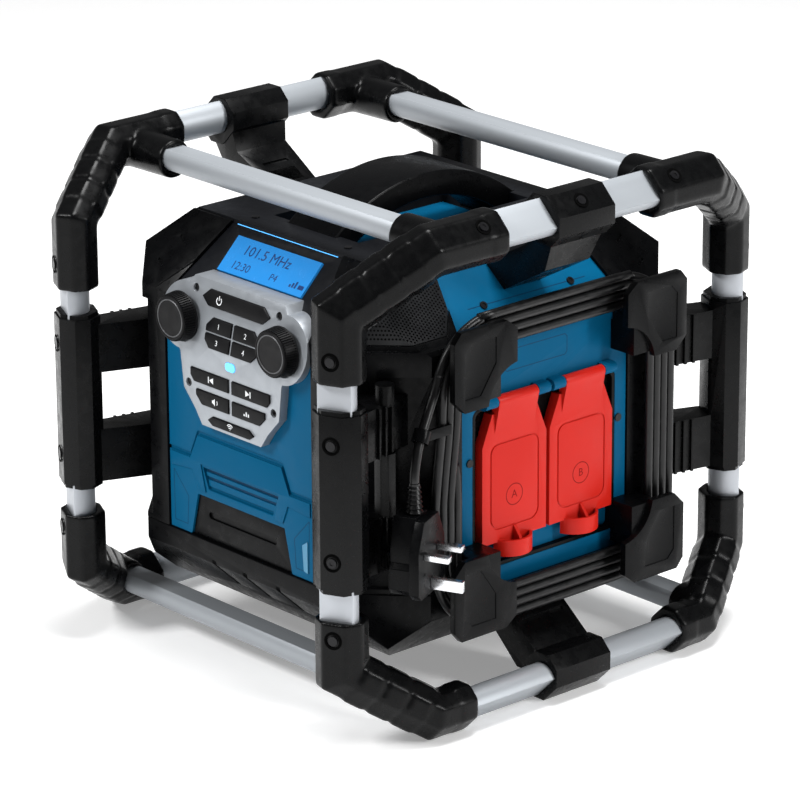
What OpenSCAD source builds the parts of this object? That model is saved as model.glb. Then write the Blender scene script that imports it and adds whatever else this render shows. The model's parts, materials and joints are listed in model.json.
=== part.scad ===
// Jobsite radio: an octagonal body held in a cage of aluminium tubes and rubber elbows.
// The control panel faces -Y, and the mains outlets with the wound cord face +X.
// Millimetres. +Z is up, and the origin is the middle of the footprint on the floor.

/* [Cage] */
// Sideways distance from the middle to each post
post_x = 138; // [136:1:141]
// Front-to-back distance from the middle to each post
post_y = 178; // [176:1:184]
// Sideways distance from the middle to the side bars
bar_x = 166.4; // [165:0.2:172]
// Height of the upper side bars
bar_top_z = 342.5; // [340:0.5:352]
// Width of the D-shaped tube of posts and side bars
tube_w = 26; // [25:0.5:27]
// Depth of that tube across its flat
tube_d = 18; // [17:0.5:19]
// Wall of the tubes
tube_wall = 1.6; // [1.2:0.1:2.2]
// Width of the cross tubes
cross_w = 20.5; // [19:0.5:22]
// Depth of the cross tubes across their flat
cross_d = 17; // [16:0.5:18]
// Distance from the middle to the upper cross tubes
cross_top_y = 104; // [100:1:108]
// Distance from the middle to the lower cross tubes
cross_low_y = 130; // [124:1:136]
// Depth of elbows and sleeves, across the tubes' flat side
elbow_d = 29; // [28:0.5:30]
// Width of elbows and sleeves
elbow_w = 35; // [34:0.5:36]
// Cut along the edges of elbows, sleeves and clamps
elbow_cut = 9; // [8:0.5:10]
// How far the bands stand out of the elbows
band_rise = 0.8; // [0.6:0.1:1]
// How far clamps and collars stand out of the elbows' form
clamp_rise = 0.5; // [0.4:0.1:0.8]
// Sideways run of a post elbow's slanted part
bend_run = 53.3; // [50:0.5:56]
// Rise of a post elbow's slanted part
bend_rise = 37.4; // [35:0.5:40]
// Length of the upper elbows on the posts
leg_top = 46; // [42:1:50]
// Length of the lower elbows on the posts
leg_low = 39; // [36:1:42]
// Length of the upper elbows on the side bars
reach_top = 56.5; // [52:0.5:60]
// Length of the lower elbows on the side bars
reach_low = 28.5; // [26:0.5:32]
// Depth of each tube in its socket
socket_depth = 22; // [18:1:24]
// Lower end of the post sleeves
sleeve_low_z = 115; // [112:1:118]
// Length of the post sleeves
sleeve_len = 127; // [122:1:130]
// Width of the bar clamps along their bars
clamp_w = 51; // [46:1:56]

/* [Body] */
// Distance from the middle to the front and back faces
body_y = 150; // [148:1:152]
// Distance from the middle to the side faces
body_x = 145; // [143:1:147]
// Distance from the middle to the corner faces, along the diagonal
body_s = 177; // [176:0.5:178]
// Distance from the middle to the recessed middle part of the corner faces
corner_in_s = 173; // [172:0.5:174]
// Underside of the body
body_low_z = 42.6; // [41.6:0.5:44.6]
// Top of the body
body_top_z = 310.2; // [309.2:0.5:311.2]
// Thickness of the outer panels
skin_t = 6; // [5.5:0.5:7]
// Wall of the inner housing
wall_t = 3.8; // [3:0.2:5]
// How far the blue panels lie back behind the black bumpers
panel_back = 1.5; // [1:0.1:2]
// Half width of the blue front panel
front_half = 76; // [74:1:80]
// Half width of the blue side panels
side_half = 76.5; // [75:0.5:80]
// Top edge of the base
base_top_z = 92.6; // [90:0.2:95]
// Seam between panels
seam = 0.4; // [0.2:0.1:0.8]
// Gap between pieces that sit on each other
seat_gap = 0.2; // [0.1:0.05:0.3]

/* [Handle] */
// Width of the carrying handle
handle_w = 50; // [44:1:56]
// Top of the handle
handle_top_z = 339.5; // [338.5:0.5:341]
// Outer radius of the handle's arch
handle_r = 130; // [128:1:134]
// Thickness of the handle's grip
handle_t = 18; // [16:1:20]
// Half length of the hand recess
recess_half_y = 78; // [74:1:82]
// Half width of the hand recess
recess_half_x = 44; // [40:1:48]
// Floor of the hand recess
recess_z = 288; // [285:1:291]

/* [Controls] */
// Front face of the control plate
plate_y = 155.5; // [155:0.1:157]
// Sideways distance of the knobs
knob_x = 52.5; // [51.5:0.5:53.5]
// Height of the knobs
knob_z = 253; // [252:0.5:254]
// Radius of a knob at its base
knob_r = 17.4; // [16.5:0.1:18]
// Radius of a knob at its face
knob_face_r = 15.5; // [14:0.1:16.5]
// Length of a knob
knob_h = 11.6; // [10:0.2:14]
// Radius of the knob spindles
spindle_r = 3; // [2.5:0.1:3.5]
// Radial clearance of running fits
run_gap = 0.06; // [0.02:0.01:0.1]
// Travel of the push buttons
button_travel = 1; // [0.5:0.1:1.2]
// How far the buttons stand out of the plate
button_proud = 1.2; // [1.1:0.1:1.6]
// Thickness of the push buttons
button_t = 3.4; // [3:0.1:3.8]
// Gap around each push button
button_gap = 0.3; // [0.2:0.05:0.5]
// Width of the display
lcd_w = 87; // [80:1:92]
// Height of the display
lcd_h = 28; // [26:1:29]
// Thickness of the display window
lcd_t = 2.6; // [2.2:0.1:3]

/* [Outlets] */
// Width of each outlet cover
cover_w = 59; // [57:0.5:60]
// Gap between the two covers
cover_split = 3; // [2:0.5:5]
// Top of the covers' main plate
cover_top_z = 208; // [206:1:208]
// Bottom of the covers' main plate
cover_low_z = 116; // [114:1:120]
// Front face of the covers
cover_face_x = 147; // [146.5:0.5:148]
// Height of the covers' hinge axis
hinge_z = 217; // [216.5:0.5:219]
// Radius of the hinge knuckles
knuckle_r = 4; // [3.6:0.1:4.4]
// Radius of the hinge pins
pin_r = 1.5; // [1.2:0.1:1.8]
// How far a cover's finger cup stands out
cup_out = 10; // [8:0.5:11]

/* [Cord] */
// Diameter of the mains cord
cord_d = 6.5; // [6.5:0.5:6.5]
// Turns of cord in the winding
cord_turns = 4; // [4:1:4]
// Half width of the winding
wind_half_y = 112; // [112:1:112]
// Lower edge of the winding
wind_low_z = 62.5; // [62.5:0.5:62.5]
// Upper edge of the winding
wind_top_z = 285; // [285:1:285]
// Outer face of the cord brackets
bracket_x = 171; // [169:1:172]
// Thickness of the cord brackets
bracket_t = 5; // [4:0.5:6]
// Width of the mains plug
plug_w = 44; // [42:1:46]
// Height of the mains plug
plug_h = 54; // [52:1:56]
// Thickness of the mains plug
plug_t = 24; // [22:1:26]
// Length of the line and neutral pins
pin_len = 17.7; // [17:0.1:18]
// Length of the earth pin
earth_len = 22.7; // [22:0.1:23]

/* [Battery] */
// Width of the battery
battery_w = 86; // [80:1:90]
// Height of the battery
battery_h = 74; // [70:1:78]
// Depth of the battery
battery_l = 52; // [48:1:54]
// Clearance around the battery
battery_gap = 0.5; // [0.3:0.1:1]
// Wall of the battery bay
bay_wall = 2.4; // [2:0.2:3]
// Floor of the battery bay
bay_low_z = 116; // [112:1:118]
// Thickness of the hinged doors
door_t = 3; // [2.5:0.5:3.5]

/* [Hidden] */
$fn = 48;
root2 = sqrt(2);
far = 400;
// All heights are measured from a level that lies floor_drop under the floor
bar_low_z = 19;
foot_half = (elbow_d + elbow_w + 4 * clamp_rise - 2 * elbow_cut) / 2 / root2;
floor_drop = bar_low_z - foot_half;
bend_top_z = bar_top_z - bend_rise;
bend_low_z = bar_low_z + bend_rise;
bend_y = post_y - bend_run;
cross_top_z = bar_top_z - 3.1;
cross_low_z = bar_low_z + 7.5;
cross_top_x = bar_x - 49;
cross_low_x = bar_x - 19.4;
cross_low_depth = 12;
post_roll = -65;
// Diagonal sums that place the sloping faces: half width plus height at the top,
// and half width minus height at the bottom
front_sum = 413;
side_sum = 405;
corner_sum = 436;
front_cut = 72.4;
side_cut = 71;
corner_cut = 93.4;
core_in = skin_t + seat_gap;
cavity_in = core_in + wall_t;
front_face = body_y - panel_back;
side_face = body_x - panel_back;
cover_y = (cover_w + cover_split) / 2;
hinge_x = side_face + knuckle_r + 0.3;
tilt_z = 238;
tilt_slope = 8 / 39;
plate_top_z = 281.5;
knob_base_y = plate_y - 2.5;
screw_sink = 3;
slope_sum = front_sum - panel_back * root2;
lcd_y = 119;
wind_w = cord_turns * cord_d;
wind_x = 150.2;
wind_r = 28;
corner_y = wind_half_y - wind_w - wind_r;
corner_low_z = wind_low_z + wind_w + wind_r;
corner_top_z = wind_top_z - wind_w - wind_r;
plug_x = 164.5;
plug_y = -137;
plug_low_z = 111;
plug_turn = 25;
relief_len = 21;
tail_top_z = plug_low_z + plug_h + relief_len;
// Middle of the free stretch of cord, from the winding down to the plug
tail_points = [[153.5, -105.5, 248.5], [154, -109.3, 240], [155.2, -114.1, 232.3],
    [157, -119.3, 224.9], [159, -124.5, 217.8], [161, -129.3, 210.6], [162.8, -133.3, 203.1],
    [164, -136, 195], [plug_x, plug_y - 0.1, tail_top_z + 3], [plug_x, plug_y, tail_top_z]];
bay_half = battery_w / 2 + battery_gap + bay_wall;
bay_top_z = bay_low_z + battery_h + 2 * battery_gap + 2 * bay_wall;
bay_front_y = front_face;
bay_back_y = front_face - battery_l - 2 * battery_gap - bay_wall - 4;
media_half = 34;
media_low_z = 150;
media_top_z = 196;
blue = "steelblue";
black = [0.09, 0.09, 0.1];
dark = [0.2, 0.2, 0.22];
grey = [0.45, 0.46, 0.48];
metal = "silver";
red = "red";

// ---- Swept solids ----

function unit(v) = v / norm(v);
function leg(path, i) = unit(path[i + 1] - path[i]);
// Direction that the joint plane at point i faces
function joint_dir(path, i) =
    i == 0 ? leg(path, 0)
    : i == len(path) - 1 ? leg(path, i - 1)
    : unit(leg(path, i - 1) + leg(path, i));
// Slides a ring of points along d until it lies in the plane through q that faces n
function slide(ring, d, q, n) = [for (p = ring) p + d * (((q - p) * n) / (d * n))];
// Rings of a mitred sweep, one for each point of the path
function mitred(path, ring, i = 0) =
    i == len(path) - 1 ? [ring]
    : concat([ring], mitred(path, slide(ring, leg(path, i), path[i + 1], joint_dir(path, i + 1)), i + 1));
// Square cross-section of one leg of a mitred sweep, at a distance from that leg's start
function leg_ring(path, ring, i, dist) =
    slide(mitred(path, ring)[i], leg(path, i), path[i] + leg(path, i) * dist, leg(path, i));

// Closes a list of rings into a solid
module rings_solid(rings) {
    n = len(rings[0]);
    m = len(rings);
    walls = [for (i = [0:m - 2], k = [0:n - 1])
        [i * n + k, (i + 1) * n + k, (i + 1) * n + (k + 1) % n, i * n + (k + 1) % n]];
    floor_face = [[for (k = [0:n - 1]) k]];
    roof_face = [[for (k = [n - 1:-1:0]) (m - 1) * n + k]];
    polyhedron(points = [for (r = rings) each r], faces = concat(floor_face, walls, roof_face));
}

// ---- Profiles ----

// Section of elbows, sleeves and clamps with its flat side facing +Y, grown outward by r
function oval_points(r) =
    let (d = elbow_d / 2 + r, w = elbow_w / 2 + r, c = elbow_cut)
    [[w, c - d], [w, d - c], [w - c, d], [c - w, d], [-w, d - c], [-w, c - d], [c - w, -d], [w - c, -d]];

module oval(r) {
    polygon(oval_points(r));
}

// Round tube with one flat side, whose flat faces +Y
module d_shape(w, d) {
    translate([0, (w - d) / 2])
        intersection() {
            circle(d = w);
            translate([-w / 2, -w / 2])
                square([w, d]);
        }
}

module d_tube(w, d, wall) {
    difference() {
        d_shape(w, d);
        d_shape(w - 2 * wall, d - 2 * wall);
    }
}

module round_rect(w, h, r) {
    square([w - 2 * r, h], center = true);
    square([w, h - 2 * r], center = true);
    for (x = [-1, 1], y = [-1, 1])
        translate([x * (w / 2 - r), y * (h / 2 - r)])
            circle(r);
}

// ---- Placing ----

// Turns a front right piece into the piece of another corner: right and back are 1 or -1
module at_corner(right, back) {
    mirror([right < 0 ? 1 : 0, 0, 0])
        mirror([0, back > 0 ? 1 : 0, 0])
            children();
}

module every_corner() {
    for (right = [-1, 1], back = [-1, 1])
        at_corner(right, back)
            children();
}

// Local X along the bar, local Y outward and up: for pieces extruded along Y
module along_y(x, y, z, length) {
    translate([x, y + length, z])
        rotate([90, 0, 0])
            linear_extrude(length)
                children();
}

module along_x(x, y, z, length) {
    translate([x, y, z])
        rotate([90, 0, 90])
            linear_extrude(length)
                children();
}

// Extrudes a drawing of the front (sideways, height) between two depths in front of the middle
module on_front(near, deep) {
    translate([0, -deep, 0])
        rotate([90, 0, 0])
            linear_extrude(near - deep)
                children();
}

// Local Z out of the slanted display face, local Y up that face
module on_front_slope() {
    translate([0, -lcd_y, slope_sum - lcd_y])
        rotate([45, 0, 0])
            children();
}

// ---- Cage ----

// Section around the post, turned with the post's flat side
function post_ring(z, r, up) = [for (p = oval_points(r))
    let (a = post_roll - 90, x = up * p[0], y = p[1])
    [post_x + x * cos(a) - y * sin(a), -post_y + x * sin(a) + y * cos(a), z]];

top_path = [[post_x, -post_y, bend_top_z - leg_top], [post_x, -post_y, bend_top_z],
    [bar_x, -bend_y, bar_top_z], [bar_x, -(bend_y - reach_top), bar_top_z]];
low_path = [[post_x, -post_y, bend_low_z + leg_low], [post_x, -post_y, bend_low_z],
    [bar_x, -bend_y, bar_low_z], [bar_x, -(bend_y - reach_low), bar_low_z]];
slant_len = norm(top_path[2] - top_path[1]);
band_w = 15;
band_step = 19;

module post_bore(z, height) {
    translate([post_x, -post_y, z])
        rotate([0, 0, post_roll - 90])
            linear_extrude(height)
                d_shape(tube_w + 2 * seat_gap, tube_d + 2 * seat_gap);
}

// One elbow from a post, over a slanted part with raised bands, to a side bar,
// with a socket for the cross tube
module elbow(path, up, cross, cross_depth, bar_roll) {
    body_ring = post_ring(path[0][2], 0, up);
    band_ring = post_ring(path[0][2], band_rise, up);
    bar_z = path[3][2];
    difference() {
        union() {
            rings_solid(mitred(path, body_ring));
            for (k = [-1:1])
                rings_solid([leg_ring(path, band_ring, 1, slant_len / 2 + k * band_step - band_w / 2),
                    leg_ring(path, band_ring, 1, slant_len / 2 + k * band_step + band_w / 2)]);
            along_y(bar_x, path[3][1] - 14, bar_z, 12)
                rotate(bar_roll)
                    oval(clamp_rise);
            translate(cross)
                rotate([0, 90, 0])
                    cylinder(d1 = cross_w + 7, d2 = elbow_d, h = bar_x - cross[0]);
        }
        post_bore(up > 0 ? path[0][2] - 1 : path[0][2] - socket_depth, socket_depth + 1);
        along_y(bar_x, path[3][1] - socket_depth, bar_z, socket_depth + 1)
            rotate(bar_roll)
                d_shape(tube_w + 2 * seat_gap, tube_d + 2 * seat_gap);
        along_x(cross[0] - 12, cross[1], cross[2], cross_depth + 12)
            d_shape(cross_w + 2 * seat_gap, cross_d + 2 * seat_gap);
    }
}

module elbow_top(right, back) {
    color(black)
        at_corner(right, back)
            elbow(top_path, 1, [cross_top_x, -cross_top_y, cross_top_z], socket_depth, -45);
}

module elbow_low(right, back) {
    color(black)
        at_corner(right, back)
            elbow(low_path, -1, [cross_low_x, -cross_low_y, cross_low_z], cross_low_depth, -135);
}

module cage_posts() {
    low = bend_low_z + leg_low - socket_depth + 0.5;
    high = bend_top_z - leg_top + socket_depth - 0.5;
    color(metal)
        every_corner()
            translate([post_x, -post_y, low])
                rotate([0, 0, post_roll - 90])
                    linear_extrude(high - low)
                        d_tube(tube_w, tube_d, tube_wall);
}

module side_bar(z, half, roll) {
    along_y(bar_x, -half, z, 2 * half)
        rotate(roll)
            d_tube(tube_w, tube_d, tube_wall);
}

module side_bars() {
    color(metal)
        for (right = [-1, 1])
            at_corner(right, -1) {
                side_bar(bar_top_z, bend_y - reach_top + socket_depth - 0.5, -45);
                side_bar(bar_low_z, bend_y - reach_low + socket_depth - 0.5, -135);
            }
}

module cross_tubes() {
    half_top = cross_top_x + socket_depth - 0.5;
    half_low = cross_low_x + cross_low_depth - 0.5;
    color(metal)
        for (y = [-1, 1]) {
            along_x(-half_top, y * cross_top_y, cross_top_z, 2 * half_top)
                d_tube(cross_w, cross_d, tube_wall);
            along_x(-half_low, y * cross_low_y, cross_low_z, 2 * half_low)
                d_tube(cross_w, cross_d, tube_wall);
        }
}

// Leg from a post to the body's corner face, drawn in plan along the diagonal, with three ribs
module sleeve_leg(z, height) {
    foot_s = corner_in_s + seat_gap;
    translate([0, 0, z])
        linear_extrude(height)
            rotate(-45) {
                polygon([[foot_s, -19], [foot_s, 13], [212, -12], [226, -22], [222, -40]]);
                for (s = [190, 195.7, 201.4])
                    translate([s, 13 - (s - foot_s) * 0.644])
                        rotate(-32.8)
                            translate([-1, -1])
                                square([2, 3.4]);
            }
}

module post_sleeve(with_peg) {
    difference() {
        union() {
            translate([post_x, -post_y, sleeve_low_z + 3])
                rotate([0, 0, post_roll - 90])
                    linear_extrude(sleeve_len - 6)
                        oval(0);
            translate([post_x, -post_y, sleeve_low_z])
                rotate([0, 0, post_roll - 90])
                    linear_extrude(sleeve_len)
                        oval(-1.2);
            sleeve_leg(sleeve_low_z + 3, 38);
            sleeve_leg(sleeve_low_z + sleeve_len - 44, 35);
            if (with_peg) {
                // Peg on the upper leg and the column between the legs
                translate([133.6, -135.1, sleeve_low_z + sleeve_len - 10])
                    cylinder(d = 13, h = 14);
                translate([133.6, -135.1, sleeve_low_z + 40])
                    rotate(22.5)
                        cylinder(d = 15, h = sleeve_len - 83, $fn = 8);
            }
        }
        post_bore(sleeve_low_z - 1, sleeve_len + 2);
    }
}

module post_sleeves() {
    color(black)
        for (right = [-1, 1], back = [-1, 1])
            at_corner(right, back)
                post_sleeve(right > 0 && back < 0);
}

// Clamp around a side bar with a leg to the body: the points outline the leg from the side,
// widths gives its half width at its foot and at the bar, and each cut is a groove across it
module bar_clamp(z, roll, outline, foot_z, widths, cuts, turn) {
    difference() {
        union() {
            along_y(bar_x, -clamp_w / 2, z, clamp_w)
                rotate(roll)
                    oval(clamp_rise);
            intersection() {
                along_y(0, -far, 0, 2 * far)
                    polygon(outline);
                along_x(0, 0, 0, far)
                    polygon([[-widths[0], foot_z], [widths[0], foot_z], [widths[1], z], [-widths[1], z]]);
            }
        }
        along_y(bar_x, -clamp_w, z, 2 * clamp_w)
            rotate(roll)
                d_shape(tube_w + 2 * seat_gap, tube_d + 2 * seat_gap);
        for (p = cuts)
            along_y(p[0], 5 - widths[0], p[1], 2 * widths[0] - 10)
                rotate(turn)
                    square([3, 3], center = true);
    }
}

module bar_clamps() {
    top_sum = side_sum + seat_gap * root2 - panel_back * root2;
    low_cut = side_cut + seat_gap * root2;
    color(black)
        for (right = [-1, 1])
            at_corner(right, -1) {
                bar_clamp(bar_top_z, -45, [[bar_x - 13, bar_top_z + 2], [bar_x - 17, 322],
                    [top_sum - 298, 298], [top_sum - 282, 282], [bar_x - 2, 306], [bar_x + 9, bar_top_z - 12]],
                    280, [16.5, clamp_w / 2], [[134, 289.1], [142, 293.6], [150, 298.1], [118, 305], [126, 309.3],
                    [134, 313.6]], 29);
                bar_clamp(bar_low_z, -135, [[bar_x - 12, bar_low_z - 9], [low_cut + 44, 44],
                    [low_cut + 60, 60], [bar_x + 6, bar_low_z + 7]], 62, [23.5, clamp_w / 2],
                    [[136, 56.1], [143, 50.3]], -39.6);
            }
}

module screw_head(d, h) {
    difference() {
        cylinder(d = d, h = h);
        translate([0, 0, h - 0.6])
            cylinder(d = d / 2, h = 1, $fn = 6);
    }
}

// Head on the flat of a post piece
module post_screw(z) {
    translate([post_x, -post_y, z])
        rotate([0, 0, post_roll])
            translate([elbow_d / 2, 0, 0])
                rotate([0, 90, 0])
                    screw_head(7, 1);
}

// Head on the slanted flat of an upper side bar piece
module bar_screw(y, height) {
    translate([bar_x, y, bar_top_z])
        rotate([0, 45, 0])
            translate([0, 0, height])
                screw_head(7, 1);
}

module cage_screws() {
    color(dark) {
        every_corner() {
            post_screw(sleeve_low_z + 23);
            post_screw(sleeve_low_z + sleeve_len - 23);
            post_screw(bend_top_z - leg_top + 17);
            post_screw(bend_low_z + leg_low - 12);
            bar_screw(-(bend_y - reach_top + 19), elbow_d / 2 + 0.02);
        }
        for (right = [-1, 1])
            at_corner(right, -1)
                bar_screw(0, elbow_d / 2 + clamp_rise);
    }
}

// ---- Body ----

// Upright outline of the body: half width h, slope sums, and an inward offset
function outline(h, top_sum, low_cut, i) =
    let (w = h - i, k = i * root2, low = body_low_z + i, top = body_top_z - i,
        right = [[low_cut - k + low, low], [w, w - low_cut + k], [w, top_sum - k - w], [top_sum - k - top, top]])
    concat(right, [for (n = [3:-1:0]) [-right[n][0], right[n][1]]]);

// The body's outer form, moved inward by i, with its upper corners raised by cap
module body_form(i, cap = 0) {
    corner = (body_s - i) * root2;
    intersection() {
        linear_extrude(far)
            polygon([[corner - body_y + i, body_y - i], [body_x - i, corner - body_x + i],
                [body_x - i, -(corner - body_x + i)], [corner - body_y + i, -(body_y - i)],
                [-(corner - body_y + i), -(body_y - i)], [-(body_x - i), -(corner - body_x + i)],
                [-(body_x - i), corner - body_x + i], [-(corner - body_y + i), body_y - i]]);
        along_x(-far, 0, 0, 2 * far)
            polygon(outline(body_y, front_sum + cap / 4, front_cut, i));
        along_y(0, -far, 0, 2 * far)
            polygon(outline(body_x, side_sum + cap / 4, side_cut, i));
        for (turn = [-45, 45])
            rotate([0, 0, turn])
                along_y(0, -far, 0, 2 * far)
                    polygon(outline(body_s, corner_sum + cap, corner_cut, i));
    }
}

module skin(outer, inner) {
    difference() {
        body_form(outer);
        body_form(inner);
    }
}

panel_low_z = 84;
slope_start_z = 258;
cover_edge_z = 300;
front_edge_y = 103.4;
top_half_y = front_edge_y - seam;

// Where the front and back panels lie, grown by g
module front_zone(g) {
    on_front(far, front_edge_y - g)
        polygon([[-front_half - g, base_top_z + seam - g], [front_half + g, base_top_z + seam - g],
            [front_half + g, slope_start_z], [56 + g, 311], [-56 - g, 311], [-front_half - g, slope_start_z]]);
}

module side_zone(g) {
    along_x(60, 0, 0, far)
        polygon([[-side_half - g, panel_low_z - g], [side_half + g, panel_low_z - g],
            [side_half + g, slope_start_z], [63 + g, cover_edge_z - seam + g],
            [-63 - g, cover_edge_z - seam + g], [-side_half - g, slope_start_z]]);
}

module every_panel_zone(g) {
    front_zone(g);
    mirror([0, 1, 0])
        front_zone(g);
    side_zone(g);
    mirror([1, 0, 0])
        side_zone(g);
}

module top_zone(g) {
    translate([-120, -top_half_y - g, cover_edge_z - g])
        cube([240, 2 * (top_half_y + g), 100]);
}

module base_zone(g) {
    translate([-far, -far, 0])
        cube([2 * far, 2 * far, base_top_z + g]);
}

// Slice of a corner between two heights, seen along the diagonal
module corner_slice(low, high, half) {
    rotate([0, 0, -45])
        translate([100, -half, low])
            cube([100, 2 * half, high - low]);
}

module tray_block(g) {
    translate([-recess_half_x - 4 - g, -recess_half_y - 4 - g, recess_z - 4 - g])
        cube([2 * (recess_half_x + 4 + g), 2 * (recess_half_y + 4 + g), 100]);
}

module handle_form(g) {
    intersection() {
        along_x(-handle_w / 2 - g, 0, handle_top_z - handle_r, handle_w + 2 * g)
            difference() {
                circle(handle_r + g, $fn = 128);
                circle(handle_r - handle_t - g, $fn = 128);
            }
        translate([-far, -97 - g, 281 - g])
            cube([2 * far, 194 + 2 * g, 200]);
    }
}

module outlet_window(g) {
    along_x(side_face - 20, 0, 0, 60)
        translate([0, (97 + 213) / 2])
            round_rect(132 + 2 * g, 116 + 2 * g, 6);
}

module bay_window(g, deep) {
    mirror([0, 1, 0])
        on_front(far, deep - g)
            translate([0, (bay_low_z + bay_top_z) / 2])
                square([2 * (bay_half + g), bay_top_z - bay_low_z + 2 * g], center = true);
}

module media_window(g, deep) {
    mirror([1, 0, 0])
        along_x(deep - g, 0, 0, far)
            translate([0, (media_low_z + media_top_z) / 2])
                square([2 * (media_half + g), media_top_z - media_low_z + 2 * g], center = true);
}

module main_housing() {
    color(dark)
        difference() {
            body_form(core_in);
            body_form(cavity_in);
            tray_block(seat_gap);
            handle_form(seat_gap);
            outlet_window(seat_gap);
            bay_window(seat_gap, bay_back_y);
            media_window(seat_gap, body_x - 40);
        }
}

module base() {
    color(black)
        difference() {
            intersection() {
                skin(0, skin_t);
                base_zone(0);
            }
            side_zone(seam);
            mirror([1, 0, 0])
                side_zone(seam);
            // Slanted tread grooves on the front and back slopes
            for (back = [0, 1])
                mirror([0, back, 0])
                    for (x = [-28, 5, 40])
                        translate([x, -body_y, body_y - front_cut])
                            rotate([-45, 0, 0])
                                rotate(-12)
                                    translate([-2, -8, -2])
                                        cube([4, 34, 4]);
        }
}

module top_cover() {
    color(dark)
        difference() {
            union() {
                intersection() {
                    skin(0, skin_t);
                    top_zone(0);
                }
                intersection() {
                    tray_block(0);
                    body_form(0);
                }
            }
            translate([-recess_half_x, -recess_half_y, recess_z])
                cube([2 * recess_half_x, 2 * recess_half_y, 100]);
            handle_form(seat_gap);
        }
}

module handle() {
    color(black)
        handle_form(0);
}

module plug_slot(w, h) {
    square([w, h], center = true);
}

module subwoofer_outline(g) {
    polygon([[-53 - g, 0], [53 + g, 0], [53 + g, 93], [45.5 + g, 123.5 + g], [-45.5 - g, 123.5 + g], [-53 - g, 93]]);
}

module front_panel() {
    color(blue)
        difference() {
            intersection() {
                skin(panel_back, skin_t);
                front_zone(0);
            }
            on_front(far, front_face - 2.6)
                translate([0, 137.5])
                    polygon([[-40, 7.5], [-34, -7.5], [34, -7.5], [40, 7.5]]);
            on_front(far, 0)
                subwoofer_outline(seam);
            // Room for the pressed buttons
            on_front(far, front_face - 0.2 - button_travel)
                every_button_shape(button_gap);
            // Faceted step band under the control plate
            on_front(far, front_face - 1.4)
                polygon([[-80, 150], [-52, 150], [-44, 168], [44, 168], [52, 150], [80, 150], [80, 152.5],
                    [53, 152.5], [45, 170.5], [-45, 170.5], [-53, 152.5], [-80, 152.5]]);
            on_front_slope()
                translate([-lcd_w / 2 - seat_gap, -lcd_h / 2 - seat_gap, -1.6])
                    cube([lcd_w + 2 * seat_gap, lcd_h + 2 * seat_gap, 20]);
        }
}

module subwoofer_plate() {
    color(black)
        difference() {
            intersection() {
                skin(panel_back + 1.5, skin_t);
                on_front(far, 0)
                    subwoofer_outline(0);
                translate([-far, -far, base_top_z + seam])
                    cube(2 * far);
            }
            on_front(far, body_y - 4.6)
                translate([0, 110.8])
                    round_rect(72, 5, 2.4);
        }
}

module display_window() {
    color("deepskyblue")
        on_front_slope()
            translate([-lcd_w / 2, -lcd_h / 2, -1.6 + seat_gap])
                cube([lcd_w, lcd_h, lcd_t]);
}

// Side view of the control plate's face, moved out by o: upright below, tilted back above
function face_line(o) = [[-plate_y - o, 170], [-plate_y - o, tilt_z],
    [-plate_y - o + (276 - tilt_z) * tilt_slope, 276], [-plate_y - o + 12, plate_top_z + 6]];

module face_slab(out, deep) {
    along_x(-100, 0, 0, 200)
        polygon(concat(face_line(out), [for (n = [3:-1:0]) face_line(-deep)[n]]));
}

module plate_outline() {
    polygon([[-31, 180], [31, 180], [38, 190], [50, 203], [53, 228], [60, 240], [62, 262], [47, plate_top_z],
        [-47, plate_top_z], [-62, 262], [-60, 240], [-53, 228], [-50, 203], [-38, 190]]);
    for (x = [-1, 1])
        translate([x * knob_x, knob_z])
            circle(knob_r + 6);
}

// Button drawings as seen from the front, grown by g
module bar_button(w, h, cut, z, g) {
    translate([0, z])
        polygon([[-w - g, 0], [-w + cut - g / 2, -h / 2 - g], [w - cut + g / 2, -h / 2 - g], [w + g, 0],
            [w - cut + g / 2, h / 2 + g], [-w + cut - g / 2, h / 2 + g]]);
}

module power_shape(g) {
    bar_button(35, 11, 7, 270.5, g);
}

module wireless_shape(g) {
    bar_button(24, 6.4, 5, 185.6, g);
}

// Preset button at the right and top, cut at its outer corner; sx and sz mirror it
module preset_shape(sx, sz, g) {
    translate([0, 247.75])
        scale([sx, sz])
            polygon([[1.2 - g, 0.8 - g], [27 + g, 0.8 - g], [27 + g, 5 + g / 2], [21.5 + g / 2, 10.3 + g],
                [1.2 - g, 10.3 + g]]);
}

module skip_shape(sx, g) {
    scale([sx, 1])
        polygon([[1.8 - g, 210 - g], [38 + g / 2, 210 - g], [41.5 + g, 214], [41.5 + g, 219.4 + g], [1.8 - g, 219.4 + g]]);
}

module tone_shape(sx, g) {
    scale([sx, 1])
        polygon([[1.8 - g, 195 - g], [30 + g / 2, 195 - g], [36 + g, 201], [36 + g, 205 + g], [1.8 - g, 205 + g]]);
}

module every_button_shape(g) {
    power_shape(g);
    wireless_shape(g);
    for (sx = [-1, 1]) {
        for (sz = [-1, 1])
            preset_shape(sx, sz, g);
        skip_shape(sx, g);
        tone_shape(sx, g);
    }
}

module light_shape(g) {
    translate([0, 228.6])
        round_rect(10 + 2 * g, 6 + 2 * g, 2.8);
}

module plate_screw_spots() {
    for (x = [-1, 1]) {
        translate([x * 44.5, 207.5])
            children();
        translate([x * 43.3, 273.6])
            children();
    }
}

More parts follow.
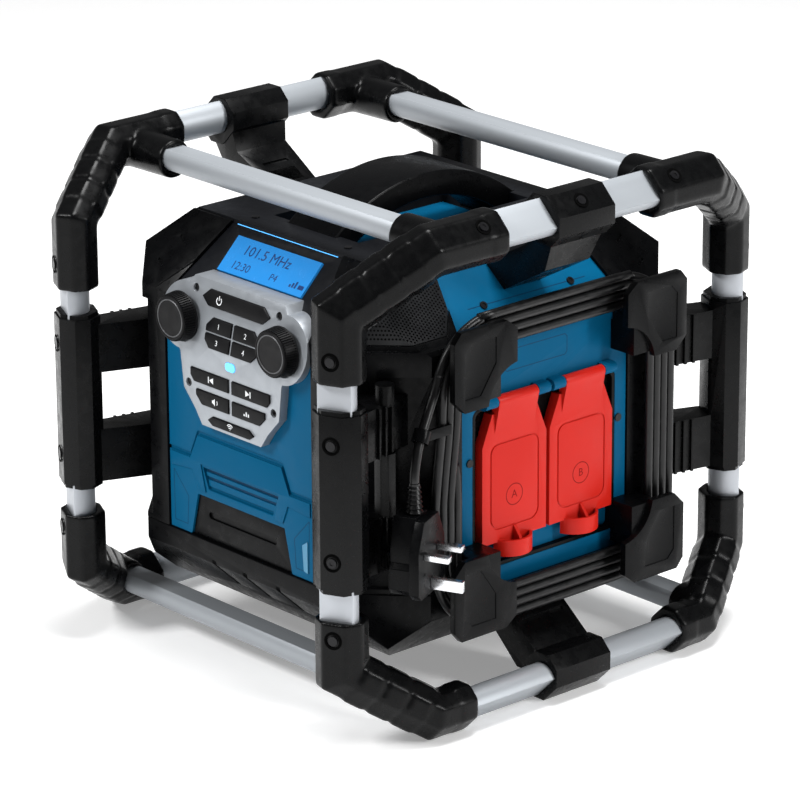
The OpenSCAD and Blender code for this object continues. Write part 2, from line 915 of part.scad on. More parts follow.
module control_plate() {
    color(grey)
        difference() {
            intersection() {
                on_front(far, 100)
                    plate_outline();
                face_slab(0, 40);
            }
            body_form(panel_back - 0.1);
            on_front(far, 0)
                every_button_shape(button_gap);
            on_front(far, 0)
                light_shape(seat_gap);
            for (x = [-1, 1])
                translate([x * knob_x, 0, knob_z]) {
                    rotate([90, 0, 0])
                        translate([0, 0, knob_base_y])
                            cylinder(r = knob_r + 0.8, h = 40);
                    rotate([90, 0, 0])
                        cylinder(r = spindle_r + run_gap, h = far);
                }
            difference() {
                on_front(far, 0)
                    plate_screw_spots()
                        circle(d = 6);
                face_slab(-screw_sink, 60);
            }
        }
}

module button_solid() {
    color(dark)
        intersection() {
            on_front(far, 100)
                children();
            face_slab(button_proud, button_t - button_proud);
        }
}

module status_light() {
    color("deepskyblue")
        intersection() {
            on_front(far, front_face + 0.2)
                light_shape(0);
            face_slab(0.4, 8);
        }
}

module knob(side) {
    color(black)
        translate([side * knob_x, -knob_base_y - 0.4, knob_z])
            rotate([90, 0, 0]) {
                difference() {
                    cylinder(r1 = knob_r, r2 = knob_face_r, h = knob_h);
                    translate([0, 0, knob_h - 0.8])
                        cylinder(r = knob_face_r - 2, h = 2);
                }
                translate([0, 0, -(knob_base_y + 0.4 - front_face - 0.4)])
                    cylinder(r = spindle_r, h = 5);
            }
}

module knob_left() {
    knob(-1);
}

module knob_right() {
    knob(1);
}

module power_button() {
    button_solid()
        power_shape(0);
}

module preset_button(sx, sz) {
    button_solid()
        preset_shape(sx, sz, 0);
}

module previous_button() {
    button_solid()
        skip_shape(-1, 0);
}

module next_button() {
    button_solid()
        skip_shape(1, 0);
}

module mute_button() {
    button_solid()
        tone_shape(-1, 0);
}

module equaliser_button() {
    button_solid()
        tone_shape(1, 0);
}

module wireless_button() {
    button_solid()
        wireless_shape(0);
}

// ---- Side and back panels ----

module hinge_ears(ear, ear_w = 6) {
    for (side = [-1, 1])
        translate([0, side * ear, 0])
            rotate([90, 0, 0])
                difference() {
                    union() {
                        cylinder(r = knuckle_r, h = ear_w, center = true);
                        translate([-knuckle_r - 0.3 - 1, -knuckle_r, -ear_w / 2])
                            cube([knuckle_r + 1.3, 2 * knuckle_r, ear_w]);
                    }
                    cylinder(r = pin_r + 0.02, h = ear_w + 4, center = true);
                }
}

cover_ear = 24;
cover_ear_w = 11;
cover_knuckle = 2 * (cover_ear - cover_ear_w / 2 - 0.4);

module right_panel() {
    color(blue) {
        difference() {
            intersection() {
                skin(panel_back, skin_t);
                side_zone(0);
            }
            outlet_window(seat_gap);
        }
        for (side = [-1, 1])
            translate([hinge_x, side * cover_y, hinge_z])
                hinge_ears(cover_ear, cover_ear_w);
    }
}

module outlet_tray() {
    color(black)
        difference() {
            intersection() {
                outlet_window(0);
                translate([side_face - 10, -far, 0])
                    cube([10 - seat_gap, 2 * far, far]);
            }
            along_x(side_face - 5, 0, 0, 60)
                translate([0, (99.5 + 211) / 2])
                    round_rect(127, 111.5, 5);
            // Three-pin sockets
            for (side = [-1, 1])
                along_x(side_face - 30, side * cover_y, 158, 60) {
                    translate([0, 11.1])
                        plug_slot(4.8, 8.8);
                    translate([-11.1, -11.1])
                        plug_slot(7.2, 4.8);
                    translate([11.1, -11.1])
                        plug_slot(7.2, 4.8);
                }
        }
}

module outlet_cover(side) {
    back_x = side_face - 4.3;
    color(red)
        translate([0, side * cover_y, 0]) {
            difference() {
                union() {
                    // Main plate with shoulders
                    along_x(back_x, 0, 0, cover_face_x - back_x)
                        polygon([[-cover_w / 2, cover_low_z], [cover_w / 2, cover_low_z],
                            [cover_w / 2, cover_top_z - 22], [cover_w / 2 - 9, cover_top_z],
                            [9 - cover_w / 2, cover_top_z], [-cover_w / 2, cover_top_z - 22]]);
                    // Finger cup: a curved wall around a back plate
                    translate([0, 0, cover_low_z - 10])
                        linear_extrude(11.5)
                            intersection() {
                                translate([cover_face_x + cup_out - 17, 0])
                                    difference() {
                                        circle(17);
                                        circle(15);
                                    }
                                translate([cover_face_x - 3, -20])
                                    square([40, 40]);
                            }
                    translate([cover_face_x - 3, -13, cover_low_z - 10])
                        cube([3, 26, 12]);
                    // Arm up to the hinge
                    along_y(0, -cover_knuckle / 2, 0, cover_knuckle)
                        polygon([[side_face + 0.4, cover_top_z - 0.1], [side_face + 0.4, hinge_z - 2],
                            [hinge_x, hinge_z], [hinge_x + knuckle_r, hinge_z],
                            [cover_face_x, cover_top_z - 14], [back_x, cover_top_z - 14]]);
                    translate([hinge_x, 0, hinge_z])
                        rotate([90, 0, 0])
                            cylinder(r = knuckle_r, h = cover_knuckle, center = true);
                    // Fin in the cup
                    along_y(0, -1.2, 0, 2.4)
                        polygon([[cover_face_x - 1, cover_low_z - 8], [cover_face_x + cup_out - 1, cover_low_z - 8],
                            [cover_face_x + cup_out - 1, cover_low_z - 2], [cover_face_x, cover_low_z + 10],
                            [cover_face_x - 1, cover_low_z + 10]]);
                }
                along_x(back_x - 1, 0, 0, cover_face_x - back_x - 2)
                    translate([0, (cover_low_z + cover_top_z - 26) / 2])
                        round_rect(cover_w - 5, cover_top_z - cover_low_z - 30, 2);
                translate([hinge_x, 0, hinge_z])
                    rotate([90, 0, 0])
                        cylinder(r = pin_r + run_gap, h = far, center = true);
                // Engraved outline on the face
                along_x(cover_face_x - 0.8, 0, 0, 5)
                    difference() {
                        translate([0, cover_low_z + 40])
                            round_rect(cover_w - 14, 62, 8);
                        translate([0, cover_low_z + 40])
                            round_rect(cover_w - 17, 59, 6.5);
                    }
            }
        }
}

module outlet_cover_a() {
    outlet_cover(-1);
}

module outlet_cover_b() {
    outlet_cover(1);
}

module hinge_pins() {
    pin = 2 * cover_ear + cover_ear_w - 1;
    color(metal) {
        for (side = [-1, 1])
            along_y(hinge_x, side * cover_y - pin / 2, hinge_z, pin)
                circle(pin_r);
        along_x(-door_ear - 2.5, front_face + knuckle_r + 0.3, door_hinge_z, 2 * door_ear + 5)
            circle(pin_r);
        along_y(-hinge_x, -media_ear - 2.5, media_hinge_z, 2 * media_ear + 5)
            circle(pin_r);
    }
}

door_ear = 34;
media_ear = 20;
door_hinge_z = bay_low_z - 8;
media_hinge_z = media_low_z - 8;

module left_panel() {
    deep = body_x - 36;
    color(blue) {
        difference() {
            mirror([1, 0, 0])
                intersection() {
                    skin(panel_back, skin_t);
                    side_zone(0);
                }
            media_window(0, 0);
        }
        // Media bay behind the door
        difference() {
            intersection() {
                media_window(0, deep);
                mirror([1, 0, 0])
                    translate([0, -far, 0])
                        cube([side_face, 2 * far, far]);
            }
            mirror([1, 0, 0])
                along_x(deep + bay_wall, 0, 0, far)
                    translate([0, (media_low_z + media_top_z) / 2])
                        square([2 * (media_half - bay_wall), media_top_z - media_low_z - 2 * bay_wall], center = true);
        }
        translate([-hinge_x, 0, media_hinge_z])
            mirror([1, 0, 0])
                hinge_ears(media_ear);
    }
}

module media_door() {
    color(black)
        difference() {
            union() {
                mirror([1, 0, 0])
                    along_x(side_face + seat_gap, 0, 0, door_t)
                        translate([0, (media_low_z + media_top_z) / 2])
                            round_rect(2 * media_half + 8, media_top_z - media_low_z + 6, 4);
                along_y(-hinge_x, 0.4 - media_ear + 3, media_hinge_z, 2 * (media_ear - 3.4)) {
                    circle(knuckle_r);
                    translate([-1, 0])
                        square([knuckle_r, 8]);
                }
            }
            along_y(-hinge_x, -far, media_hinge_z, 2 * far)
                circle(pin_r + run_gap);
        }
}

module back_panel() {
    color(blue) {
        difference() {
            mirror([0, 1, 0])
                intersection() {
                    skin(panel_back, skin_t);
                    front_zone(0);
                }
            bay_window(0, 0);
        }
        // Battery bay behind the door
        difference() {
            intersection() {
                bay_window(0, bay_back_y);
                translate([-far, 0, 0])
                    cube([2 * far, front_face, far]);
            }
            mirror([0, 1, 0])
                on_front(far, bay_back_y + bay_wall)
                    translate([0, (bay_low_z + bay_top_z) / 2])
                        square([2 * (bay_half - bay_wall), bay_top_z - bay_low_z - 2 * bay_wall], center = true);
        }
        translate([0, front_face + knuckle_r + 0.3, door_hinge_z])
            rotate([0, 0, 90])
                hinge_ears(door_ear);
    }
}

module battery_door() {
    color(black)
        difference() {
            union() {
                mirror([0, 1, 0])
                    on_front(front_face + seat_gap + door_t, front_face + seat_gap)
                        translate([0, (bay_low_z + bay_top_z) / 2])
                            round_rect(2 * bay_half + 10, bay_top_z - bay_low_z + 6, 5);
                along_x(-(door_ear - 3.4), front_face + knuckle_r + 0.3, door_hinge_z, 2 * (door_ear - 3.4)) {
                    circle(knuckle_r);
                    translate([-3, 0])
                        square([knuckle_r, 8]);
                }
            }
            along_x(-far, front_face + knuckle_r + 0.3, door_hinge_z, 2 * far)
                circle(pin_r + run_gap);
        }
}

module battery_pack() {
    color(dark)
        translate([-battery_w / 2, bay_back_y + bay_wall + battery_gap, bay_low_z + bay_wall + seat_gap])
            cube([battery_w, battery_l, battery_h]);
}

// ---- Bumpers, grilles and fasteners ----

grille_low_z = 268;
grille_top_z = 297;
grille_half = 38;

module corner_bumpers() {
    color(black)
        difference() {
            union() {
                difference() {
                    skin(0, skin_t);
                    // Recessed middle part of the corner faces
                    every_corner()
                        rotate([0, 0, -45])
                            translate([corner_in_s, -60, base_top_z + 4])
                                cube([20, 120, 250 - base_top_z]);
                }
                // Lips under the speaker grilles
                intersection() {
                    skin(-3, 1);
                    for (side = [-1, 1])
                        at_corner(side, -side)
                            corner_slice(247, 264, 38);
                }
                // Stepped caps on the left front and right back corners
                difference() {
                    intersection() {
                        body_form(0, 5.6);
                        for (side = [-1, 1])
                            at_corner(side, side)
                                corner_slice(257, 309, 45);
                    }
                    body_form(1);
                    for (side = [-1, 1])
                        at_corner(side, side)
                            rotate([0, 0, -45])
                                for (z = [276, 291])
                                    translate([corner_sum + 3.2 - z, 0, z])
                                        rotate([0, 45, 0])
                                            translate([-1, -60, 0])
                                                cube([2, 120, 4]);
                }
            }
            every_panel_zone(seam);
            top_zone(seam);
            base_zone(seam);
            grille_cut(seam);
        }
}

module grille_cut(g) {
    difference() {
        for (side = [-1, 1])
            at_corner(side, -side)
                corner_slice(grille_low_z - g, grille_top_z + g, grille_half + g);
        body_form(2 + g);
    }
}

module speaker_grilles() {
    color(dark)
        intersection() {
            for (side = [-1, 1])
                at_corner(side, -side)
                    corner_slice(grille_low_z, grille_top_z, grille_half);
            skin(0.4, 2);
            difference() {
                translate([-far, -far, 0])
                    cube(2 * far);
                every_panel_zone(2 * seam);
                top_zone(2 * seam);
            }
        }
}

module body_screws() {
    side_slope = side_sum - panel_back * root2;
    slope_low_z = side_sum - body_x;
    slope_screw_z = slope_low_z + (body_top_z - slope_low_z) * 0.34;
    color(dark) {
        for (side = [-1, 1], y = [-40, 40])
            translate([side * (side_slope - slope_screw_z), y, slope_screw_z])
                rotate([0, side * 45, 0])
                    screw_head(7, 1);
        for (y = [-69, 69])
            translate([side_face, y, 177])
                rotate([0, 90, 0])
                    screw_head(6, 1);
        for (x = [-38.5, 38.5])
            translate([x * 1.25, -91, body_top_z])
                screw_head(6, 1);
        // Heads sunk in the control plate
        intersection() {
            on_front(far, 0)
                plate_screw_spots()
                    circle(d = 5.4);
            face_slab(1.9 - screw_sink, screw_sink - 0.1);
        }
    }
}

// ---- Cord ----

// Planar outline of the winding's inner edge, grown by g
module wind_edge(g) {
    translate([0, (wind_low_z + wind_top_z) / 2])
        round_rect(2 * (wind_half_y - wind_w + g), wind_top_z - wind_low_z - 2 * wind_w + 2 * g, wind_r + g);
}

module cord_winding() {
    color([0.05, 0.05, 0.05])
        along_x(wind_x, 0, 0, cord_d)
            difference() {
                wind_edge(wind_w);
                wind_edge(0);
            }
}

// Bracket of the right front lower corner, drawn with y outward and z downward positive
module cord_bracket() {
    plate_r = 30;
    // Seat inside the winding's corner
    intersection() {
        along_x(side_face + seat_gap, corner_y, 0, bracket_x - side_face - bracket_t)
            circle(wind_r - 0.3);
        translate([body_x + seat_gap, corner_y + 3.5, 3.5 - 6])
            cube([60, 60, 60]);
    }
    intersection() {
        along_x(side_face + seat_gap, corner_y, 0, bracket_x - side_face - bracket_t)
            circle(wind_r - 0.3);
        translate([side_face + seat_gap, corner_y + 3.5, 3.5 - 6])
            cube([8, side_half - corner_y - 4, 21]);
    }
    // Outer plate with a shallow pocket
    difference() {
        along_x(bracket_x - bracket_t, 0, 0, bracket_t)
            difference() {
                polygon([[51, -5], [98, -5], [107, 4], [107, 44], [101, 51], [60, 51], [51, 44]]);
                translate([47, -9])
                    circle(plate_r);
            }
        along_x(bracket_x - 0.7, 0, 0, 2)
            polygon([[84, 4], [98, 4], [98, 36], [92, 42], [70, 42], [70, 24]]);
    }
}

module cord_brackets() {
    color(black)
        for (side = [-1, 1]) {
            mirror([0, side > 0 ? 0 : 1, 0]) {
                translate([0, 0, corner_top_z])
                    cord_bracket();
                translate([0, 0, corner_low_z])
                    mirror([0, 0, 1])
                        cord_bracket();
            }
        }
}

module cord_gland() {
    color(black)
        along_x(body_x + seat_gap, -91, 150, wind_x - body_x - 2 * seat_gap)
            circle(8);
}

// Ring around one straight stretch of the cord, with a tab on the winding
module cord_clip() {
    low = tail_points[5];
    way = tail_points[4] - low;
    color(black)
        difference() {
            union() {
                translate(low)
                    rotate([0, acos(way[2] / norm(way)), atan2(way[1], way[0])])
                        cylinder(d = cord_d + 5, h = norm(way));
                translate([wind_x + cord_d + seat_gap, -125, 209])
                    cube([2, 26, 7]);
            }
            translate(low)
                rotate([0, acos(way[2] / norm(way)), atan2(way[1], way[0])])
                    translate([0, 0, -10])
                        cylinder(d = cord_d + 0.7, h = norm(way) + 20);
        }
}

// Ring of points around one point of the cord, square to the cord there
function cord_ring(path, i, r) =
    let (d = joint_dir(path, i), u = unit(cross(d, [1, 0, 0])), v = cross(d, u))
    [for (k = [0:9]) path[i] + r * (cos(k * 36) * u + sin(k * 36) * v)];

module cord_tail() {
    color([0.05, 0.05, 0.05])
        rings_solid([for (i = [0:len(tail_points) - 1]) cord_ring(tail_points, i, cord_d / 2)]);
}

module plug_place() {
    translate([plug_x, plug_y, plug_low_z])
        rotate([0, 0, plug_turn])
            children();
}

module plug_relief() {
    color(black)
        plug_place()
            translate([0, 0, plug_h])
                cylinder(d1 = 12, d2 = cord_d + 1.5, h = relief_len);
}

module mains_plug() {
    color(black)
        plug_place()
            along_x(-plug_t / 2, 0, 0, plug_t)
                polygon([[-plug_w / 2 + 5, 0], [plug_w / 2 - 5, 0], [plug_w / 2, 5], [plug_w / 2, plug_h - 20],
                    [10, plug_h], [-10, plug_h], [-plug_w / 2, plug_h - 20], [-plug_w / 2, 5]]);
}

module plug_pins() {
    color(metal)
        plug_place() {
            along_x(plug_t / 2, 0, 7, earth_len)
                square([4, 8], center = true);
            for (y = [-11.1, 11.1])
                along_x(plug_t / 2, y, 7 + 22.2, pin_len)
                    square([6.35, 4], center = true);
        }
}

// ---- Inside ----

module circuit_board() {
    color("green")
        on_front(body_y - cavity_in - 0.4, body_y - cavity_in - 2)
            translate([0, 218])
                square([140, 74], center = true);
}

module power_supply() {
    color(grey)
        translate([38, -58, body_low_z + cavity_in + 0.3])
            cube([54, 116, 56]);
}

module speaker_drivers() {
    sum = corner_sum - cavity_in * root2 - 0.5;
    color(dark)
        for (side = [-1, 1])
            at_corner(side, -side)
                rotate([0, 0, -45])
                    translate([sum - 274, -5.7, 274])
                        rotate([0, 45, 0])
                            translate([0, 0, -20.7]) {
                                cylinder(d1 = 20, d2 = 36, h = 18);
                                translate([0, 0, 18])
                                    cylinder(d = 39, h = 4);
                            }
}

module subwoofer_driver() {
    color(dark)
        translate([-30, 0, body_low_z + cavity_in + 0.3]) {
            cylinder(d = 122, h = 6);
            translate([0, 0, 6])
                cylinder(d1 = 108, d2 = 60, h = 26);
            translate([0, 0, 32])
                cylinder(d = 60, h = 18);
        }
}

// Lowers a piece so that the clamps and collars of the lower side bars rest on the floor
module on_floor() {
    translate([0, 0, -floor_drop])
        children();
}

on_floor() elbow_top(1, -1);  // elbow_top_front_right
on_floor() elbow_top(-1, -1);  // elbow_top_front_left
on_floor() elbow_top(1, 1);  // elbow_top_back_right
on_floor() elbow_top(-1, 1);  // elbow_top_back_left
on_floor() elbow_low(1, -1);  // elbow_low_front_right
on_floor() elbow_low(-1, -1);  // elbow_low_front_left
on_floor() elbow_low(1, 1);  // elbow_low_back_right
on_floor() elbow_low(-1, 1);  // elbow_low_back_left
on_floor() cage_posts();
on_floor() side_bars();
on_floor() cross_tubes();
on_floor() post_sleeves();
on_floor() bar_clamps();
on_floor() cage_screws();
on_floor() main_housing();
on_floor() base();
on_floor() top_cover();
on_floor() handle();
on_floor() front_panel();
on_floor() right_panel();
on_floor() left_panel();
on_floor() back_panel();
on_floor() corner_bumpers();
on_floor() speaker_grilles();
on_floor() subwoofer_plate();
on_floor() display_window();
on_floor() control_plate();
on_floor() status_light();
on_floor() knob_left();
on_floor() knob_right();
on_floor() power_button();
on_floor() preset_button(-1, 1);  // preset_button_1
on_floor() preset_button(1, 1);  // preset_button_2
on_floor() preset_button(-1, -1);  // preset_button_3
on_floor() preset_button(1, -1);  // preset_button_4
on_floor() previous_button();
on_floor() next_button();
on_floor() mute_button();
on_floor() equaliser_button();
on_floor() wireless_button();
on_floor() body_screws();
on_floor() outlet_tray();
on_floor() outlet_cover_a();
on_floor() outlet_cover_b();
on_floor() hinge_pins();
on_floor() cord_brackets();
on_floor() cord_gland();
on_floor() cord_clip();
on_floor() cord_winding();
on_floor() cord_tail();
on_floor() plug_relief();
on_floor() mains_plug();
on_floor() plug_pins();
on_floor() battery_door();
on_floor() battery_pack();
on_floor() media_door();
on_floor() circuit_board();
on_floor() power_supply();
on_floor() speaker_drivers();
on_floor() subwoofer_driver();
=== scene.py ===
# %% [markdown]
# A jobsite radio in Blender.
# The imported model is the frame: every size and every joint comes from it. This file
# gives each piece its finish, rounds the edges that a mould or a lathe would round,
# and adds the small things that a solid model leaves out: prints, ribs, screw sockets.

# %% Load the frame
import bpy, bmesh, json
from math import radians, sin, cos, pi, sqrt
from mathutils import Vector, Matrix
from mathutils.bvhtree import BVHTree


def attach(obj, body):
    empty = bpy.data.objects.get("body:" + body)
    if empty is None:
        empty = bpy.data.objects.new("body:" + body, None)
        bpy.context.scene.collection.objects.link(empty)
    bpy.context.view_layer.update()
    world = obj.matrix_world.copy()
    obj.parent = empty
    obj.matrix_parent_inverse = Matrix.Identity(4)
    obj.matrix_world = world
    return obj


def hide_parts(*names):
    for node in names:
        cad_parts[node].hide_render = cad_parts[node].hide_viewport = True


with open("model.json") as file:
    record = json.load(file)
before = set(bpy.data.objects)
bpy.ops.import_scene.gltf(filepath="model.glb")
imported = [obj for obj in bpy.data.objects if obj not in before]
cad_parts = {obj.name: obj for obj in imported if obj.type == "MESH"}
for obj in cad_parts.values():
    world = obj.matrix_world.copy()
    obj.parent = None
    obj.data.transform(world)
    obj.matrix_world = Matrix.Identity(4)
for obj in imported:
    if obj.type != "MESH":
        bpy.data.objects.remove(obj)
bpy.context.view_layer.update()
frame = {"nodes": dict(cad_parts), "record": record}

nodes = frame["nodes"]
carrier = {n: b for b, names in frame["record"]["behaviour"]["bodies"].items() for n in names}
FLOOR_DROP = 19 - 24 * sqrt(2) / 2  # the drawing's zero level lies this far under the floor, in mm


def mm(x, y, z):
    """A point of the construction drawing, in millimetres, as a place in the scene."""
    return Vector((x, y, z - FLOOR_DROP)) / 1000


# %% [markdown]
# The camera comes first, because framing decides which details count. A long lens
# from far away keeps the cage's tubes nearly parallel. A constraint could aim it,
# but a matrix written out from azimuth, elevation and roll also holds the slight
# tilt, and needs no target object.

# %% Camera
azimuth, elevation, roll = radians(48.28), radians(19.16), radians(-0.33)
STAND = (2.2058, -1.9693, 1.19437)  # where the camera stands, in metres
back = Vector((sin(azimuth) * cos(elevation), -cos(azimuth) * cos(elevation), sin(elevation)))
right = Vector((cos(azimuth), sin(azimuth), 0))
up = back.cross(right)
across = right * cos(roll) + up * sin(roll)
upward = up * cos(roll) - right * sin(roll)
lens = bpy.data.cameras.new("studio_camera")
lens.lens, lens.sensor_width = 201.56, 36
lens.clip_start, lens.clip_end = 0.1, 50
camera = bpy.data.objects.new("studio_camera", lens)
bpy.context.collection.objects.link(camera)
turn = Matrix((across, upward, back)).transposed().to_4x4()
camera.matrix_world = Matrix.Translation(STAND) @ turn
bpy.context.scene.camera = camera
print("camera", tuple(round(v, 3) for v in camera.location))


# %% [markdown]
# The radio is moulded rubber, grained plastic, drawn tube and painted sheet. Painted
# maps could show them, but they need an unwrapped mesh and blur when seen close. A
# small node network works on any mesh: broad noise shifts the colour a little,
# medium noise changes how shiny the surface is from spot to spot, and fine noise
# becomes a bump, the grain of the mould. One function makes them all, so every
# finish has the same structure and only its numbers differ.

# %% Finishes
CLOUDS, SPOTS, SCUFFS = 38, 150, 420  # noise scales from broad to fine


def finish(name, colour, rough, metal=0.0, grain=2600, depth=0.04, mottle=0.10, spread=0.08,
           stretch=(1, 1, 1), coat=0.0, scuff=0.0, scuff_colour=(0.3, 0.3, 0.3), glow=0.0, specular=0.5):
    mat = bpy.data.materials.new(name)
    mat.use_nodes = True
    tree = mat.node_tree
    add, link = tree.nodes.new, tree.links.new
    shader = tree.nodes["Principled BSDF"]
    place = add("ShaderNodeTexCoord")
    scale = add("ShaderNodeMapping")
    scale.inputs["Scale"].default_value = stretch
    link(place.outputs["Object"], scale.inputs["Vector"])

    def noise(size, detail=3.0):
        n = add("ShaderNodeTexNoise")
        n.inputs["Scale"].default_value = size
        n.inputs["Detail"].default_value = detail
        link(scale.outputs[0], n.inputs["Vector"])
        return n.outputs["Fac"]

    def blend_in(factor, a, b):
        m = add("ShaderNodeMix")
        m.data_type = "RGBA"
        link(factor, m.inputs["Factor"])
        for socket, value in (("A", a), ("B", b)):
            target = [s for s in m.inputs if s.name == socket and s.type == "RGBA"][0]
            if isinstance(value, tuple):
                target.default_value = (*value, 1)
            else:
                link(value, target)
        return [s for s in m.outputs if s.type == "RGBA"][0]

    def band(value, low, high, to_low, to_high):
        m = add("ShaderNodeMapRange")
        for key, number in (("From Min", low), ("From Max", high), ("To Min", to_low), ("To Max", to_high)):
            m.inputs[key].default_value = number
        link(value, m.inputs["Value"])
        return m.outputs[0]

    dark = tuple(c * (1 - mottle) for c in colour)
    light = tuple(min(1.0, c * (1 + mottle)) for c in colour)
    tint = blend_in(noise(CLOUDS), dark, light)
    polish = band(noise(SPOTS, 4), 0.3, 0.7, rough - spread, rough + spread)
    if scuff:
        marks = band(noise(SCUFFS, 6), 0.62, 0.72, 0, scuff)
        tint = blend_in(marks, tint, scuff_colour)
    link(tint, shader.inputs["Base Color"])
    link(polish, shader.inputs["Roughness"])
    bump = add("ShaderNodeBump")
    bump.inputs["Strength"].default_value = 0.35
    bump.inputs["Distance"].default_value = depth / 1000
    link(noise(grain, 2), bump.inputs["Height"])
    link(bump.outputs[0], shader.inputs["Normal"])
    shader.inputs["Metallic"].default_value = metal
    shader.inputs["Coat Weight"].default_value = coat
    shader.inputs["Coat Roughness"].default_value = 0.12
    shader.inputs["Specular IOR Level"].default_value = specular
    if glow:
        link(tint, shader.inputs["Emission Color"])
        shader.inputs["Emission Strength"].default_value = glow
    return mat


# Each: name, colour, roughness
rubber = finish("moulded_rubber", (0.0018, 0.0019, 0.0021), 0.29, grain=1900, depth=0.03,
                scuff=0.004, specular=0.12)
bumper_plastic = finish("bumper_plastic", (0.0018, 0.0019, 0.0022), 0.31, grain=2600, depth=0.03,
                        scuff=0.004, specular=0.08)
housing_plastic = finish("housing_plastic", (0.0055, 0.006, 0.0074), 0.40, grain=2800, depth=0.03,
                         specular=0.11)
knob_grey = finish("knob_ring", (0.09, 0.092, 0.096), 0.4, metal=0.6, depth=0.01)
button_rubber = finish("button_rubber", (0.004, 0.004, 0.0045), 0.46, grain=2400, depth=0.02,
                       specular=0.13)
blue_plastic = finish("blue_plastic", (0.001, 0.077, 0.166), 0.42, grain=3000, depth=0.02,
                      mottle=0.05, specular=0.05)
red_plastic = finish("red_plastic", (0.50, 0.013, 0.007), 0.38, grain=3000, depth=0.02,
                     mottle=0.05, specular=0.14)
panel_metal = finish("panel_paint", (0.30, 0.32, 0.345), 0.36, metal=0.5, grain=5200, depth=0.015,
                     mottle=0.05)
# The upright tubes are painted lighter than the lying ones, though all are one metal: painted light and
# shade for how each direction meets the lamps.
tube_up, tube_side, tube_cross = (
    finish(name, colour, 0.48, metal=0.4, grain=2200, depth=0.01, mottle=0.05, spread=0.05, stretch=drawn)
    for name, colour, drawn in (("tube_along_z_painted_lighter", (0.40, 0.42, 0.45), (1, 1, 0.02)),
                                ("tube_along_y_painted_darker", (0.33, 0.352, 0.376), (1, 0.02, 1)),
                                ("tube_along_x_painted_darker", (0.33, 0.352, 0.376), (0.02, 1, 1))))
pin_steel = finish("pin_plating", (0.7, 0.71, 0.73), 0.24, metal=1.0, depth=0.01, stretch=(0.1, 1, 1))
screw_black = finish("screw_black", (0.006, 0.006, 0.007), 0.34, metal=0.2, depth=0.01, specular=0.25)
cord_sheath = finish("cord_sheath", (0.003, 0.003, 0.0033), 0.36, grain=1600, depth=0.02, specular=0.3)
display_blue = finish("display_backlight", (0.012, 0.16, 0.43), 0.2, glow=0.5, coat=0.3, depth=0.0,
                      mottle=0.05)
display_ink = finish("display_ink", (0.01, 0.035, 0.13), 0.3, depth=0.0)
# Glowing light blue: the status light, which is a lamp, and the line on the display frame's top edge, which
# is a painted highlight.
light_blue = finish("status_glow_and_painted_highlight", (0.09, 0.42, 0.95), 0.25, glow=1.2, depth=0.0)
print_white = finish("white_print", (0.72, 0.74, 0.76), 0.45, depth=0.01)
# Near black: painted shade, for the grille's holes and the screws' countersinks.
hole_shade_black = finish("painted_hole_shade", (0.0015, 0.0015, 0.0015), 0.9, depth=0.0, specular=0.02)
grille_metal = finish("grille_sheet", (0.008, 0.0085, 0.0095), 0.42, metal=0.1, grain=3000, depth=0.02,
                      specular=0.2)
board_green = finish("circuit_board", (0.02, 0.13, 0.05), 0.3, depth=0.02)
# Dark blue: painted shade in grooves, sunk outlines and the bass port's floor.
blue_shade = finish("painted_shade_blue", (0.001, 0.032, 0.078), 0.5, depth=0.01, specular=0.1)
# Light blue: a painted highlight on a small facet of the front.
highlight_blue = finish("edge_highlight_blue", (0.03, 0.19, 0.33), 0.35, depth=0.01)
# Dark red: painted shade of the letters engraved in the outlet covers.
red_shade = finish("painted_shade_red", (0.17, 0.005, 0.004), 0.5, depth=0.01, specular=0.05)
print(len(bpy.data.materials), "finishes")


# %% [markdown]
# Moulded and turned pieces never have knife edges. The frame's solids do, so each
# visible one is copied, its loose triangles are merged, flat neighbours are joined
# into one face, and a narrow bevel rounds what is sharper than 28 degrees. A round
# edge catches a line of light, which the eye reads as a real, thick material.
# Subdivision would round the edges too, but it would pull flat walls out of shape.

# %% Dressing a frame solid
def plain_mesh(obj, name):
    """The evaluated shape of obj as a new mesh object; obj goes."""
    graph = bpy.context.evaluated_depsgraph_get()
    mesh = bpy.data.meshes.new_from_object(obj.evaluated_get(graph), depsgraph=graph)
    bpy.data.objects.remove(obj)
    made = bpy.data.objects.new(name, mesh)
    mesh.name = name
    bpy.context.collection.objects.link(made)
    return made


def smooth_by_angle(mesh, angle=35):
    bm = bmesh.new()
    bm.from_mesh(mesh)
    for f in bm.faces:
        f.smooth = True
    for e in bm.edges:
        e.smooth = len(e.link_faces) == 2 and e.calc_face_angle(0) < radians(angle)
    bm.to_mesh(mesh)
    bm.free()


def seat(obj, node):
    """obj takes the node's place on its body."""
    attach(obj, carrier[node])
    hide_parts(node)
    return obj


def add_on(obj, body):
    """obj rides on the body as an extra of its own."""
    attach(obj, body)


SHARP = 28  # edges sharper than this many degrees are rounded
WELD = 2e-6  # points closer than this many metres are one
# Pieces with openings in their faces
pierced = {"front_panel", "control_plate", "subwoofer_plate", "top_cover", "outlet_tray"}


def raw_copy(node, merge_flats):
    """A loose copy of a node with its triangles joined up, ready for modifiers."""
    bm = bmesh.new()
    bm.from_mesh(nodes[node].data)
    bmesh.ops.remove_doubles(bm, verts=bm.verts, dist=WELD)
    if merge_flats:
        bmesh.ops.dissolve_limit(bm, angle_limit=radians(0.7), verts=bm.verts, edges=bm.edges,
                                 delimit={"NORMAL"})
    mesh = bpy.data.meshes.new(node + "_skin")
    bm.to_mesh(mesh)
    bm.free()
    raw = bpy.data.objects.new("raw", mesh)
    bpy.context.collection.objects.link(raw)
    return raw


def skin_of(raw, node, material, smooth_angle):
    """The raw copy with its modifiers applied, painted and put in the node's place."""
    made = plain_mesh(raw, node + "_skin")
    smooth_by_angle(made.data, smooth_angle)
    made.data.materials.clear()
    made.data.materials.append(material)
    return seat(made, node)


